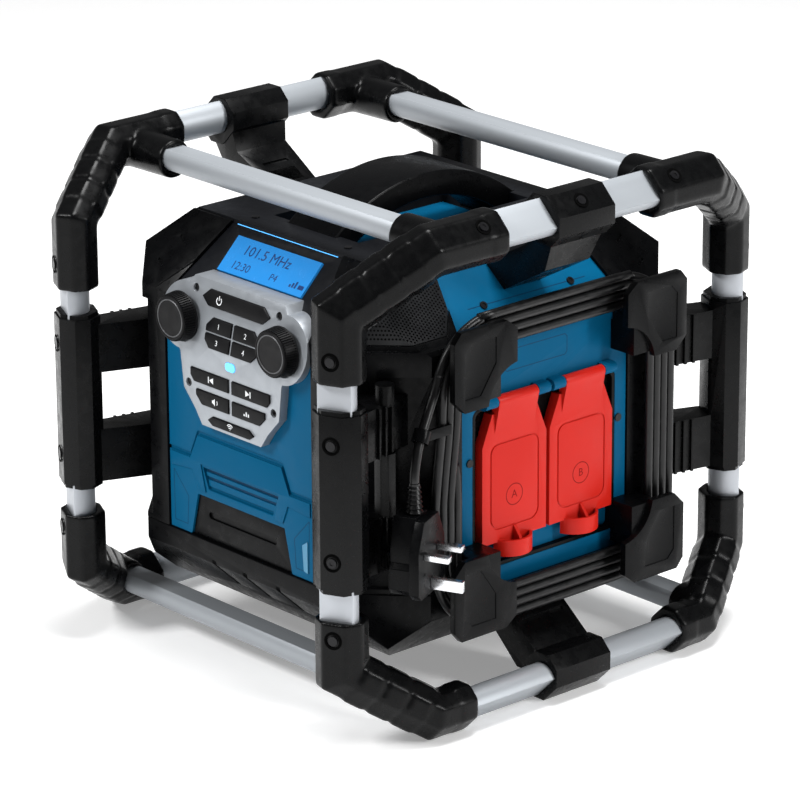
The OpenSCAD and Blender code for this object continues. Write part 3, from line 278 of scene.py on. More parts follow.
def dress(node, material, width):
    """A rounded copy. A node with openings keeps its triangles, which a merged face could not hold."""
    raw = raw_copy(node, node not in pierced)
    bevel = raw.modifiers.new("round", "BEVEL")
    bevel.width, bevel.segments = width / 1000, 3
    bevel.limit_method, bevel.angle_limit = "ANGLE", radians(SHARP)
    bevel.use_clamp_overlap = True
    bevel.miter_outer = "MITER_ARC"
    return skin_of(raw, node, material, 35)


# %% [markdown]
# How round an edge is tells what a piece is made of: thick rubber has wide rounds,
# heavy plastic narrower ones, and thin mouldings, tube and sheet only a few tenths
# of a millimetre. Each edge could get its own width as a bevel weight, but one width
# for each piece is what the eye sees, so a table of finish, width and pieces does.

# %% Rubber, plastic and metal pieces
rounded = [
    (rubber, 1.8, ["post_sleeves", "bar_clamps"]),
    (bumper_plastic, 1.3, ["handle", "corner_bumpers", "cord_brackets"]),
    (bumper_plastic, 0.7, ["base", "subwoofer_plate", "cord_gland", "cord_clip"]),
    (housing_plastic, 0.6, ["top_cover", "battery_door", "media_door"]),
    (button_rubber, 0.5, [n for n in nodes if n.endswith("_button") or n.startswith("preset_button")]),
    (blue_plastic, 0.6, ["front_panel", "right_panel", "left_panel", "back_panel"]),
    (red_plastic, 0.7, ["outlet_cover_a", "outlet_cover_b"]),
    (panel_metal, 0.5, ["control_plate"]),
    (grille_metal, 0.3, ["speaker_grilles"]),
    (bumper_plastic, 0.5, ["outlet_tray"]),
    (pin_steel, 0.4, ["plug_pins"]),
    (tube_up, 0.4, ["cage_posts"]), (tube_side, 0.4, ["side_bars"]), (tube_cross, 0.4, ["cross_tubes"]),
]
for material, width, names in rounded:
    for name in names:
        made = dress(name, material, width)
    print(material.name, width, "mm on", len(names), "nodes; last", len(made.data.polygons), "faces")


# %% [markdown]
# The elbows are thick, soft mouldings: no edge on them is tighter than a few
# millimetres, and the bands flow into the body. A bevel can't give that, because
# the bands' small steps limit its width. A voxel remesh turns the solid into an even
# skin, a few rounds of smoothing melt its edges, and a collapse thins what is flat.

# %% Soft rubber elbows
def soften(node, material, voxel=1.15, rounds=14, keep=0.5):
    """A melted copy: voxel size in mm, rounds of smoothing, share of the faces that stays."""
    raw = raw_copy(node, False)
    skin = raw.modifiers.new("skin", "REMESH")
    skin.mode, skin.voxel_size = "VOXEL", voxel / 1000
    melt = raw.modifiers.new("melt", "SMOOTH")
    melt.factor, melt.iterations = 0.6, rounds
    thin = raw.modifiers.new("thin", "DECIMATE")
    thin.ratio = keep
    return skin_of(raw, node, material, 60)


for name in [n for n in nodes if n.startswith("elbow_")]:
    made = soften(name, rubber)
print("eight elbows; last", len(made.data.polygons), "faces")


# %% [markdown]
# Some pieces are hidden or plain: the inner shell, the drivers, the circuit board
# and the power supply behind the panels, the battery pack, the thin hinge pins, the
# flat window and the status light. Rounded copies would only add faces that show
# nothing, so these keep the frame's own mesh and just get a finish.

# %% Finishes straight on the frame's own nodes
plain = {
    housing_plastic: ["main_housing", "power_supply", "speaker_drivers", "subwoofer_driver"],
    bumper_plastic: ["battery_pack"], board_green: ["circuit_board"], pin_steel: ["hinge_pins"],
    display_blue: ["display_window"], light_blue: ["status_light"],
}
for material, names in plain.items():
    for name in names:
        data = nodes[name].data
        data.materials.clear()
        data.materials.append(material)
print("plain finishes done")


# %% [markdown]
# The display sits in a dark frame that covers the whole leaning face of the front
# panel. A plate laid on top would show a seam and edges of its own. The real frame
# is the same moulding as the blue panel, painted, so those faces of the panel's skin
# only get a second finish.

# %% Dark display frame
panel = bpy.data.objects["front_panel_skin"]
panel.data.materials.append(housing_plastic)
FRAME_FROM = 0.262  # metres above the floor: the leaning face starts here
LEANING = 0.35  # a face leans back if its normal rises more than this
for face in panel.data.polygons:
    if face.normal.z > LEANING and face.center.z > FRAME_FROM:
        face.material_index = 1
print("dark frame on", sum(f.material_index for f in panel.data.polygons), "faces")


# %% [markdown]
# The blue panels carry thin inlays: a glowing light line above the display, a painted
# highlight on the frame's top edge; the raised band with the bass port's bars in its
# gap, over a dark floor that is painted shade in the port; dark lines, painted shade in
# engraved grooves; a light sliver on the right of the front, a painted highlight on a
# small facet; the floor of the hand recess, the ledge under the outlet covers and the
# sunk outline of a label field that stays empty, dark with painted shade. Cutting them
# in would break up the panels' rounded faces, so each is a closed prism, from a few
# tenths to a good millimetre thick, and set a little into what lies under it.

# %% Inlays
def slab(bm, outline, low, high, place):
    """A closed prism: outline in local x and y, thickness from low to high along local z."""
    a = [bm.verts.new(place @ Vector((x, y, low))) for x, y in outline]
    b = [bm.verts.new(place @ Vector((x, y, high))) for x, y in outline]
    n = len(outline)
    bm.faces.new(list(reversed(a)))
    bm.faces.new(b)
    for i in range(n):
        j = (i + 1) % n
        bm.faces.new((a[i], a[j], b[j], b[i]))


def solid(name, material, build, width=0.0, segments=2):
    """A mesh object from a function that fills a bmesh, rounded by a bevel if a width is given."""
    bm = bmesh.new()
    build(bm)
    bmesh.ops.recalc_face_normals(bm, faces=bm.faces)
    mesh = bpy.data.meshes.new(name)
    bm.to_mesh(mesh)
    bm.free()
    mesh.materials.append(material)
    obj = bpy.data.objects.new(name, mesh)
    bpy.context.collection.objects.link(obj)
    if width:
        mod = obj.modifiers.new("round", "BEVEL")
        mod.width, mod.segments = width / 1000, segments
        mod.limit_method, mod.angle_limit = "ANGLE", radians(SHARP)
        obj = plain_mesh(obj, name)
    smooth_by_angle(obj.data)
    return obj


def face_on(origin, x_axis, y_axis):
    """A matrix whose local x and y lie along the given directions, millimetres in."""
    x, y = Vector(x_axis).normalized(), Vector(y_axis).normalized()
    m = Matrix((x, y, x.cross(y))).transposed().to_4x4()
    return Matrix.Translation(mm(*origin)) @ m @ Matrix.Scale(0.001, 4)


def strip(bm, points, width, low, high, place):
    """A flat band of the given width along a closed outline."""
    n = len(points)
    for i in range(n):
        a, b = Vector(points[i]), Vector(points[(i + 1) % n])
        side = (b - a).normalized().orthogonal() * width / 2
        slab(bm, [tuple(a + side), tuple(a - side), tuple(b - side), tuple(b + side)], low, high, place)


FRONT, SIDE = 148.5, 143.5  # the blue panels' faces, from the middle, in mm
FRONT_SLOPE, SIDE_SLOPE = 413, 405  # height plus distance from the middle on the body's slopes
PANEL_SET = 1.5 * sqrt(2)  # the panels lie this much lower than the slopes
# Engraved lines are dark strips over the face: painted shade in place of grooves.
LINE, SUNK = 0.06, -0.2  # an engraved line's height over its face, and how deep inlays reach in
X, Y, Z = (1, 0, 0), (0, 1, 0), (0, 0, 1)
display_face = face_on((0, -119, FRONT_SLOPE - PANEL_SET - 119), X, (0, 1, 1))
front_face = face_on((0, -FRONT, 0), X, Z)
side_face = face_on((SIDE, 0, 0), Y, Z)
slope_face = face_on((SIDE, 0, SIDE_SLOPE - PANEL_SET - SIDE), Y, (-1, 0, 1))
recess_face = face_on((0, 0, 288), X, Y)
half_band = [(36.4, 127.6), (45, 127.6), (50.5, 141.2), (73.6, 139.2), (73.6, 149.4), (52.4, 149.4),
             (44.3, 167.4)]
band_outline = ([(-41.4, 147)] + [(-x, z) for x, z in half_band]
                + [(x, z) for x, z in reversed(half_band)] + [(41.4, 147)])
wing = [(71.6, 136), (56, 119.5), (57.6, 98.8), (71.2, 98.8)]
painted_highlight_sliver = [(66.2, 99.2), (70.2, 98.2), (70.2, 121), (64.8, 117.4)]
label = [(-35, 234), (18.5, 234), (20.5, 236), (20.5, 246.6), (18.5, 248.6), (-35, 248.6), (-37, 246.6),
         (-37, 236)]


def even(low_half, low, high_half, high):
    """An outline that is the same left and right: half widths at a low and a high edge."""
    return [(-low_half, low), (low_half, low), (high_half, high), (-high_half, high)]


# A glowing line on the top edge of the display frame: a painted highlight.
def light_line(bm):
    slab(bm, even(52, 21.6, 52, 22.1), SUNK, 0.12, display_face)


# The port's floor in dark blue: painted shade inside the port.
def port_mouth(bm):
    slab(bm, even(34.6, 131.6, 39.4, 144.6), -2.7, -2.45, front_face)


def port_bars(bm):
    for half, low, tall in ((34.9, 132.2, 4.6), (37.2, 139.2, 2.8)):
        slab(bm, even(half, low, half + 1, low + tall), -2.6, -1.5, front_face)


def front_band(bm):
    slab(bm, band_outline, SUNK, 1.1, front_face)


# Dark lines: painted shade in place of engraved grooves.
def wing_lines(bm):
    for hand in (1, -1):
        strip(bm, [(hand * x, z) for x, z in wing], 0.5, SUNK, LINE, front_face)


# Dark lines on the slope: painted shade in place of creases.
def slope_lines(bm):
    for half, low in ((58, 7), (54, 25)):
        slab(bm, even(half, low, half, low + 0.7), SUNK, LINE, slope_face)


# A light sliver on the right of the front only: a painted highlight on a facet.
def edge_chip(bm):
    slab(bm, painted_highlight_sliver, SUNK, 0.7, front_face)


def recess_floor(bm):
    slab(bm, even(43.6, -77.6, 43.6, 77.6), SUNK, 0.3, recess_face)


def tray_ledge(bm):
    slab(bm, even(62.4, 99.8, 62.4, 115.4), -5.2, -4.6, side_face)


# A dark outline: painted shade in the field's sunk edge.
def label_field(bm):
    strip(bm, label, 0.6, SUNK, 0.05, side_face)


inlays = [
    ("display_light_line", light_blue, light_line, 0, "display"),
    ("bass_port_mouth", blue_shade, port_mouth, 0, "blue_plastic"),
    ("bass_port_bars", blue_plastic, port_bars, 0, "blue_plastic"),
    ("front_band", blue_plastic, front_band, 0.35, "blue_plastic"),
    ("wing_lines", blue_shade, wing_lines, 0, "blue_plastic"),
    ("slope_lines", blue_shade, slope_lines, 0, "blue_plastic"),
    ("edge_chips", highlight_blue, edge_chip, 0, "blue_plastic"),
    ("recess_floor", blue_plastic, recess_floor, 0, "blue_plastic"),
    ("tray_ledge", blue_plastic, tray_ledge, 0, "blue_plastic"),
    ("label_field", blue_shade, label_field, 0, "blue_plastic"),
]
for name, material, build, round_mm, slot in inlays:
    add_on(solid(name, material, build, round_mm), "radio")
print(len(inlays), "inlays")


# %% [markdown]
# The cord is one real length: it comes out of the gland behind the winding, runs
# four flat turns round the brackets, each turn one cord diameter wider, and leaves
# the last one to hang down to the plug. A curve with a round bevel would draw it; a
# swept tube also carries its own length and girth as UVs, and measures the cord as
# it goes. The turns step outward on the front side, between the two brackets.

# %% Cord
CORD = 6.5  # its diameter; these are all in mm
WINDING_X = 153.45  # the flat turns' middle plane
CLIP = (153.5, -105.5, 248.5)  # where the clip takes the cord off the last turn's corner
half_y, mid_z, half_z, corner_r = 86.0, 173.75, 85.25, 28.0  # the brackets' rounded rectangle


def turn_points(shift):
    """One turn, from the middle of the front side down and round to its top corner."""
    r = corner_r + shift
    y0, z0 = half_y - corner_r, half_z - corner_r
    route = [(-half_y - shift, mid_z - z) for z in (14, 26, 38, 50)]
    for cy, cz, start in ((-y0, -z0, 180), (y0, -z0, 270), (y0, z0, 0), (-y0, z0, 90)):
        for k in range(9):
            a = radians(start + 90 * k / 8)
            route.append((cy + r * cos(a), mid_z + cz + r * sin(a)))
    return route


route = [(150.6, -half_y - CORD / 2, 184.0), (152.4, -half_y - CORD / 2, 174.0)]
for turn_no in range(4):
    shift = CORD * (turn_no + 0.5)
    for y, z in turn_points(shift):
        route.append((WINDING_X, y, z))
    if turn_no < 3:
        route += [(WINDING_X, -half_y - shift - CORD * part, mid_z + up_by)
                  for part, up_by in ((0.2, 34), (0.5, 17), (0.8, 0))]
route = [p for p in route if not (p[2] > CLIP[2] + 0.5 and p[1] < CLIP[1] - 2.7)]
last = max(i for i, p in enumerate(route) if p[2] > CLIP[2] + 1.5)
route = route[:last + 1]  # the last turn ends before the clip, and the free stretch starts there
route += [CLIP, (154, -109.3, 240), (155.2, -114.1, 232.3), (157, -119.3, 224.9),
          (159, -124.5, 217.8), (161, -129.3, 210.6), (162.8, -133.3, 203.1), (164, -136, 195),
          (164.5, -137.1, 189), (164.5, -137, 186)]


def smooth_route(points, per=3):
    """Points on one smooth curve through the given ones."""
    pts = [Vector(p) for p in points]
    out = []
    for i in range(len(pts) - 1):
        a, b, c, d = pts[max(i - 1, 0)], pts[i], pts[i + 1], pts[min(i + 2, len(pts) - 1)]
        for k in range(per):
            t = k / per
            out.append(0.5 * ((2 * b) + (c - a) * t + (2 * a - 5 * b + 4 * c - d) * t * t
                              + (3 * b - a - 3 * c + d) * t ** 3))
    return out + [pts[-1]]


def sweep(points, radius, sides, name, material):
    """A closed round tube along the points, with its length and girth as UVs in metres."""
    bm = bmesh.new()
    uv = bm.loops.layers.uv.new("run")
    rings, run, runs = [], 0.0, []
    side = Vector((1, 0, 0))
    for i, p in enumerate(points):
        ahead = (points[min(i + 1, len(points) - 1)] - points[max(i - 1, 0)]).normalized()
        side = (side - ahead * side.dot(ahead)).normalized()
        other = ahead.cross(side)
        run += (p - points[i - 1]).length if i else 0
        runs.append(run)
        rings.append([bm.verts.new(p + radius * (side * cos(a) + other * sin(a)))
                      for a in (2 * pi * k / sides for k in range(sides))])
    for i in range(len(rings) - 1):
        for k in range(sides):
            j = (k + 1) % sides
            f = bm.faces.new((rings[i][k], rings[i][j], rings[i + 1][j], rings[i + 1][k]))
            for loop, (u, v) in zip(f.loops, ((k, i), (k + 1, i), (k + 1, i + 1), (k, i + 1))):
                loop[uv].uv = (u / sides * 2 * pi * radius, runs[v])
    bm.faces.new(list(reversed(rings[0])))
    bm.faces.new(rings[-1])
    for f in bm.faces:
        f.smooth = True
    mesh = bpy.data.meshes.new(name)
    bm.to_mesh(mesh)
    bm.free()
    mesh.materials.append(material)
    obj = bpy.data.objects.new(name, mesh)
    bpy.context.collection.objects.link(obj)
    return obj, runs[-1]


cord_path = [mm(*p) for p in smooth_route(route)]
cord, cord_length = sweep(cord_path, CORD / 2000 - 0.00002, 14, "mains_cord", cord_sheath)
seat(cord, "cord_winding")
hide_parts("cord_winding", "cord_tail")
print("cord length", round(cord_length, 3), "m with", len(cord_path), "points")


# %% [markdown]
# The strain relief is a row of rubber segments that lets the cord bend without
# kinking. Each segment is the same short cone, a little slimmer than the last. An
# array modifier could repeat it with the help of a scaled empty; a Geometry Nodes
# tree keeps the count, the pitch and the widths together as its inputs.

# %% A tree maker and its runner
def new_tree(name, **inputs):
    tree = bpy.data.node_groups.new(name, "GeometryNodeTree")
    tree.interface.new_socket("Geometry", in_out="OUTPUT", socket_type="NodeSocketGeometry")
    tree.interface.new_socket("Geometry", in_out="INPUT", socket_type="NodeSocketGeometry")
    kinds = {float: "NodeSocketFloat", int: "NodeSocketInt", bpy.types.Material: "NodeSocketMaterial"}
    for label, value in inputs.items():
        kind = [k for t, k in kinds.items() if isinstance(value, t)][0]
        socket = tree.interface.new_socket(label, in_out="INPUT", socket_type=kind)
        socket.default_value = value
    tree.nodes.new("NodeGroupInput").name = "in"
    tree.nodes.new("NodeGroupOutput").name = "out"
    return tree


def node(tree, kind, links=None, **settings):
    """Adds a node; links maps its input names or numbers to sockets or values."""
    n = tree.nodes.new(kind)
    for key, value in settings.items():
        setattr(n, key, value)
    for key, value in (links or {}).items():
        if isinstance(value, bpy.types.NodeSocket):
            tree.links.new(value, n.inputs[key])
        else:
            n.inputs[key].default_value = value
    return n


def close_tree(tree, geometry):
    """Ends a tree in Realize Instances and Set Material."""
    real = node(tree, "GeometryNodeRealizeInstances", {"Geometry": geometry})
    paint = node(tree, "GeometryNodeSetMaterial", {"Geometry": real.outputs[0],
                                                   "Material": tree.nodes["in"].outputs["Material"]})
    tree.links.new(paint.outputs[0], tree.nodes["out"].inputs["Geometry"])


def grow(tree, name, mesh=None, **values):
    """Runs a tree with these inputs and returns the plain mesh object that it makes."""
    obj = bpy.data.objects.new(name, mesh or bpy.data.meshes.new(name))
    bpy.context.collection.objects.link(obj)
    mod = obj.modifiers.new("grow", "NODES")
    mod.node_group = tree
    ids = {s.name: s.identifier for s in tree.interface.items_tree if s.in_out == "INPUT"}
    for key, value in values.items():
        mod[ids[key]] = value
    return plain_mesh(obj, name)


def put(obj, matrix):
    """Moves the mesh, not the object, so that the object stays at the origin."""
    obj.data.transform(matrix)
    return obj


# %% Strain relief
relief_tree = new_tree("relief_rings", Count=6, Pitch=0.0033, Wide=0.0058, Narrow=0.0042, Height=0.0023,
                       Material=cord_sheath)
given = relief_tree.nodes["in"].outputs
row = node(relief_tree, "GeometryNodeMeshLine", {"Count": given["Count"]})
step = node(relief_tree, "ShaderNodeCombineXYZ", {"Z": given["Pitch"]})
relief_tree.links.new(step.outputs[0], row.inputs["Offset"])
ring = node(relief_tree, "GeometryNodeMeshCone", {"Vertices": 32, "Radius Top": given["Narrow"],
                                                  "Radius Bottom": given["Wide"], "Depth": given["Height"]})
rings = node(relief_tree, "GeometryNodeInstanceOnPoints", {"Points": row.outputs[0],
                                                           "Instance": ring.outputs[0]})
thin = node(relief_tree, "GeometryNodeInputIndex")
shrink = node(relief_tree, "ShaderNodeMapRange", {"Value": thin.outputs[0],
                                                  1: 0.0, 2: 5.0, 3: 1.0, 4: 0.76})
slimmer = node(relief_tree, "ShaderNodeCombineXYZ", {"X": shrink.outputs[0], "Y": shrink.outputs[0],
                                                     "Z": 1.0})
relief_tree.links.new(slimmer.outputs[0], rings.inputs["Scale"])
close_tree(relief_tree, rings.outputs[0])
PLUG_AT, PLUG_TURN = (164.5, -137, 111), 25  # its lower end in mm, its turn about the vertical
RELIEF_UP = 0.0552  # metres from the plug's lower end to the first ring
CORE_AT, CORE_RADIUS = (53, 60, 67, 74.9), 0.0036  # mm over the plug's lower end, metres
plug_turn = Matrix.Translation(mm(*PLUG_AT)) @ Matrix.Rotation(radians(PLUG_TURN), 4, "Z")
relief = put(grow(relief_tree, "strain_relief"), plug_turn @ Matrix.Translation((0, 0, RELIEF_UP)))
core, _ = sweep([plug_turn @ Vector((0, 0, z / 1000)) for z in CORE_AT], CORE_RADIUS, 16,
                "relief_core", cord_sheath)
for obj in (relief, core):
    smooth_by_angle(obj.data)
    seat(obj, "plug_relief")
print("relief", len(relief.data.polygons), "faces")


# %% [markdown]
# The plug is a moulded body with square shoulders, a wider flange round the pin
# face and a grip notch on each side. It could be pulled out of a box by hand, but
# stacked outlines, one slice for each change of its section, keep its sizes in
# sight. The stack is then rounded like the other moulded pieces.

# %% Plug
outward = Matrix(((0, 0, 1, 0), (1, 0, 0, 0), (0, 1, 0, 0), (0, 0, 0, 1)))
plug_face = plug_turn @ outward @ Matrix.Scale(0.001, 4)
# Outlines seen from the pins' side, in mm from the middle of the plug's lower end
flange = [(-17, 0), (17, 0), (22, 5), (22, 34), (12, 53), (-12, 53), (-22, 34), (-22, 5)]
body = [(-15, 1.5), (15, 1.5), (18.5, 6), (18.5, 20), (16, 24), (16, 33), (9.5, 54), (-9.5, 54),
        (-16, 33), (-16, 24), (-18.5, 20), (-18.5, 6)]
cap = [(-11, 5), (11, 5), (13, 9), (13, 30), (7, 46), (-7, 46), (-13, 30), (-13, 9)]
plug = solid("plug_body", bumper_plastic, lambda bm: (slab(bm, flange, 5, 12, plug_face),
                                                      slab(bm, body, -11, 5, plug_face),
                                                      slab(bm, cap, -12, -11, plug_face)), 1.1, 3)
seat(plug, "mains_plug")
print("plug", len(plug.data.polygons), "faces")


# %% [markdown]
# The knobs are turned and knurled: a lathe profile gives the body and the dished
# face, and a ring of fine ribs gives the grip. A bump texture could hint at the ribs,
# but the knob's outline would stay smooth. One tree makes the ribs of both knobs,
# with their count and size as inputs.

# %% Knobs
def lathe(bm, profile, sides=96, place=Matrix.Identity(4)):
    """Turns a list of (radius, height) round local z; first and last radius may be zero."""
    rows = []
    for r, h in profile:
        if r == 0:
            rows.append([bm.verts.new(place @ Vector((0, 0, h)))] * sides)
        else:
            rows.append([bm.verts.new(place @ Vector((r * cos(a), r * sin(a), h)))
                         for a in (2 * pi * k / sides for k in range(sides))])
    for a, b in zip(rows, rows[1:]):
        for k in range(sides):
            j = (k + 1) % sides
            corners = (a[k], a[j], b[j], b[k])
            bm.faces.new([v for i, v in enumerate(corners) if v not in corners[:i]])


rib_tree = new_tree("knob_ribs", Count=60, Radius=0.0164, Length=0.0092, Thick=0.0009, Lean=0.11,
                    Material=button_rubber)
given = rib_tree.nodes["in"].outputs
circle = node(rib_tree, "GeometryNodeMeshCircle", {"Vertices": given["Count"], "Radius": given["Radius"]})
size = node(rib_tree, "ShaderNodeCombineXYZ", {"X": given["Thick"], "Y": given["Thick"],
                                               "Z": given["Length"]})
rib = node(rib_tree, "GeometryNodeMeshCube", {"Size": size.outputs[0]})
index = node(rib_tree, "GeometryNodeInputIndex")
share = node(rib_tree, "ShaderNodeMath", {0: index.outputs[0], 1: given["Count"]}, operation="DIVIDE")
angle = node(rib_tree, "ShaderNodeMath", {0: share.outputs[0], 1: 2 * pi}, operation="MULTIPLY")
lean = node(rib_tree, "ShaderNodeMath", {0: given["Lean"], 1: -1.0}, operation="MULTIPLY")
way = node(rib_tree, "ShaderNodeCombineXYZ", {"Y": lean.outputs[0], "Z": angle.outputs[0]})
ribs = node(rib_tree, "GeometryNodeInstanceOnPoints", {"Points": circle.outputs[0],
                                                       "Instance": rib.outputs[0]})
rib_tree.links.new(way.outputs[0], ribs.inputs["Rotation"])
close_tree(rib_tree, ribs.outputs[0])

# Lathe profiles as (radius, height over the foot), in mm
knob_profile = [(0, 0.1), (16.2, 0.1), (17.3, 0.5), (17.3, 1.6), (16.4, 2.2), (15.3, 9.8), (15.4, 10.6),
                (14.9, 11.4), (13.9, 11.55), (13.5, 10.9), (0, 10.8)]
ring_profile = [(13.2, 10.6), (13.6, 10.9), (13.2, 11.3), (12.6, 11.3), (12.4, 10.9), (12.6, 10.6),
                (13.2, 10.6)]
RIBS_UP = 0.0056  # metres from the knob's foot to the middle of its ribs
KNOB_OUT, KNOB_FOOT, KNOB_Z = 52.5, -153.4, 253  # the right knob's foot, in mm
for side, name in ((-1, "knob_left"), (1, "knob_right")):
    place = face_on((side * KNOB_OUT, KNOB_FOOT, KNOB_Z), X, Z)
    knob = solid(name + "_body", button_rubber, lambda bm: lathe(bm, knob_profile, place=place))
    ribs_place = place @ Matrix.Scale(1000, 4) @ Matrix.Translation((0, 0, RIBS_UP))
    ribs_here = put(grow(rib_tree, name + "_ribs"), ribs_place)
    ring = solid(name + "_ring", knob_grey, lambda bm: lathe(bm, ring_profile, place=place))
    for obj in (knob, ribs_here, ring):
        seat(obj, name)
    print(name, len(knob.data.polygons) + len(ribs_here.data.polygons), "faces")


# %% [markdown]
# Every screw has a round head with a hexagon socket. A list of places would do, but
# it could drift away from the holes. The frame already has plain heads, so the tree
# below puts a finer head on each place, found from the frame's own pieces.

# %% Screws
def islands(node_name):
    """Middle, facing direction, low and high end of each loose piece.

    A piece faces as its largest side does. A screw's two ends are equally large but for
    rounding, so some heads face inward and show their plain side.
    """
    bm = bmesh.new()
    bm.from_mesh(nodes[node_name].data)
    bmesh.ops.remove_doubles(bm, verts=bm.verts, dist=WELD)
    seen, found = set(), []
    for first in bm.faces:
        if first in seen:
            continue
        seen.add(first)
        piece = [first]
        for f in piece:  # the list grows while it is walked
            for neighbour in (o for e in f.edges for o in e.link_faces):
                if neighbour not in seen:
                    seen.add(neighbour)
                    piece.append(neighbour)
        points = list(dict.fromkeys(v for f in piece for v in f.verts))
        middle = sum((v.co for v in points), Vector()) / len(points)
        caps = {}
        for f in piece:
            key = tuple(round(c, 2) for c in f.normal)
            caps[key] = caps.get(key, 0) + f.calc_area()
        normal = Vector(max(caps, key=caps.get)).normalized()
        lows = [v.co.dot(normal) for v in points]
        found.append((middle, normal, min(lows), max(lows)))
    bm.free()
    return found


screw_tree = new_tree("socket_screws", Radius=0.0034, Height=0.001, Socket=0.0016, Material=screw_black)
given = screw_tree.nodes["in"].outputs
head = node(screw_tree, "GeometryNodeMeshCylinder", {"Vertices": 28, "Radius": given["Radius"],
                                                     "Depth": given["Height"]})
half = node(screw_tree, "ShaderNodeMath", {0: given["Height"], 1: 0.5}, operation="MULTIPLY")
lift = node(screw_tree, "ShaderNodeCombineXYZ", {"Z": half.outputs[0]})
hexagon = node(screw_tree, "GeometryNodeMeshCylinder", {"Vertices": 6, "Radius": given["Socket"],
                                                        "Depth": given["Height"]})
raised = node(screw_tree, "GeometryNodeTransform", {"Geometry": hexagon.outputs[0],
                                                    "Translation": lift.outputs[0]})
cut = node(screw_tree, "GeometryNodeMeshBoolean", {0: head.outputs[0], 1: raised.outputs[0]},
           operation="DIFFERENCE")
facing = node(screw_tree, "GeometryNodeInputNamedAttribute", {"Name": "facing"}, data_type="FLOAT_VECTOR")
aim = node(screw_tree, "FunctionNodeAlignRotationToVector", {"Vector": facing.outputs[0]}, axis="Z")
heads = node(screw_tree, "GeometryNodeInstanceOnPoints", {"Points": given["Geometry"],
                                                          "Instance": cut.outputs[0],
                                                          "Rotation": aim.outputs[0]})
close_tree(screw_tree, heads.outputs[0])


def screw_row(node_name, radius, keep=lambda p: True, name=None):
    """A head with a socket on each screw of a node that keep says yes to."""
    spots = [s for s in islands(node_name) if keep(s[0])]
    mesh = bpy.data.meshes.new("spots")
    mesh.from_pydata([tuple(m + n * ((low + high) / 2 - m.dot(n))) for m, n, low, high in spots], [], [])
    attribute = mesh.attributes.new("facing", "FLOAT_VECTOR", "POINT")
    for i, s in enumerate(spots):
        attribute.data[i].vector = s[1]
    made = grow(screw_tree, name or node_name + "_heads", mesh, Radius=radius)
    smooth_by_angle(made.data)
    seat(made, node_name)
    print(node_name, len(spots), "heads")
    return spots


OUTLET_SIDE = 0.142  # screws farther out than this, in metres, belong to the outlets
cage_spots = screw_row("cage_screws", 0.0033)
screw_row("body_screws", 0.0028, lambda p: abs(p.x) < OUTLET_SIDE)
screw_row("body_screws", 0.0028, lambda p: abs(p.x) >= OUTLET_SIDE, "outlet_screw_heads")


# %% [markdown]
# Each cage screw lies in a shallow countersink. A boolean cut would give a real
# hole, but also spoil the rounded edges close by. A dark ring of the recess's width
# round the head, painted shade of the countersink, gives the hole its depth without
# cutting the rubber.

# %% Screw recesses, as painted shade
recess_profile = [(0.0033, 0), (0.0044, 0), (0.0046, 0.0003), (0.0040, 0.0004), (0.0035, 0.0001),
                  (0.0033, 0)]


# Dark rings: painted shade in the countersinks.
def recess_rings(bm):
    for middle, normal, low, _ in cage_spots:
        side = normal.orthogonal()
        place = Matrix((side, normal.cross(side), normal)).transposed().to_4x4()
        place = Matrix.Translation(middle + normal * (low - middle.dot(normal) + 0.0002)) @ place
        lathe(bm, recess_profile, 28, place)


recess = solid("screw_recess_shade", hole_shade_black, recess_rings)
add_on(recess, "radio")
print("recesses", len(cage_spots))


# %% [markdown]
# The mesh on the corner slopes is sheet metal with hundreds of small holes. Cutting
# them out would cost many faces, and what lies behind is dark anyway. So a grid of
# points carries one dark six-sided disc each, painted shade where a hole shows the dark
# inside; odd rows are shifted by half a pitch, as a real perforated sheet is stamped.

# %% Perforated corner mesh, its holes as painted shade
# Dark discs: painted shade in the grille's holes.
holes_tree = new_tree("painted_hole_shades", Hole=0.0008, Material=hole_shade_black)
given = holes_tree.nodes["in"].outputs
dot = node(holes_tree, "GeometryNodeMeshCircle", {"Vertices": 6, "Radius": given["Hole"]}, fill_type="NGON")
facing = node(holes_tree, "GeometryNodeInputNamedAttribute", {"Name": "facing"}, data_type="FLOAT_VECTOR")
aim = node(holes_tree, "FunctionNodeAlignRotationToVector", {"Vector": facing.outputs[0]}, axis="Z")
dots = node(holes_tree, "GeometryNodeInstanceOnPoints", {"Points": given["Geometry"],
                                                         "Instance": dot.outputs[0],
                                                         "Rotation": aim.outputs[0]})
close_tree(holes_tree, dots.outputs[0])
sheet_form = bmesh.new()
sheet_form.from_mesh(nodes["speaker_grilles"].data)
sheet_tree = BVHTree.FromBMesh(sheet_form)
PITCH, RIM = 0.0024, 0.0014  # metres from hole to hole, and from a hole to the sheet's edge
ROW_STEP = 0.866  # pitches from row to row in a triangle grid
ROWS, COLUMNS = 15, 20  # holes on each side of the grid's middle
GRID_OUT, GRID_Z = 154, 282  # the grid's middle in mm: from the radio's axis, and its height
REACH, SQUARELY = 0.1, 0.6  # how far off a ray starts, in metres, and how straight it must meet the sheet
LIFT = 0.00006  # metres that a hole's disc stands over the sheet


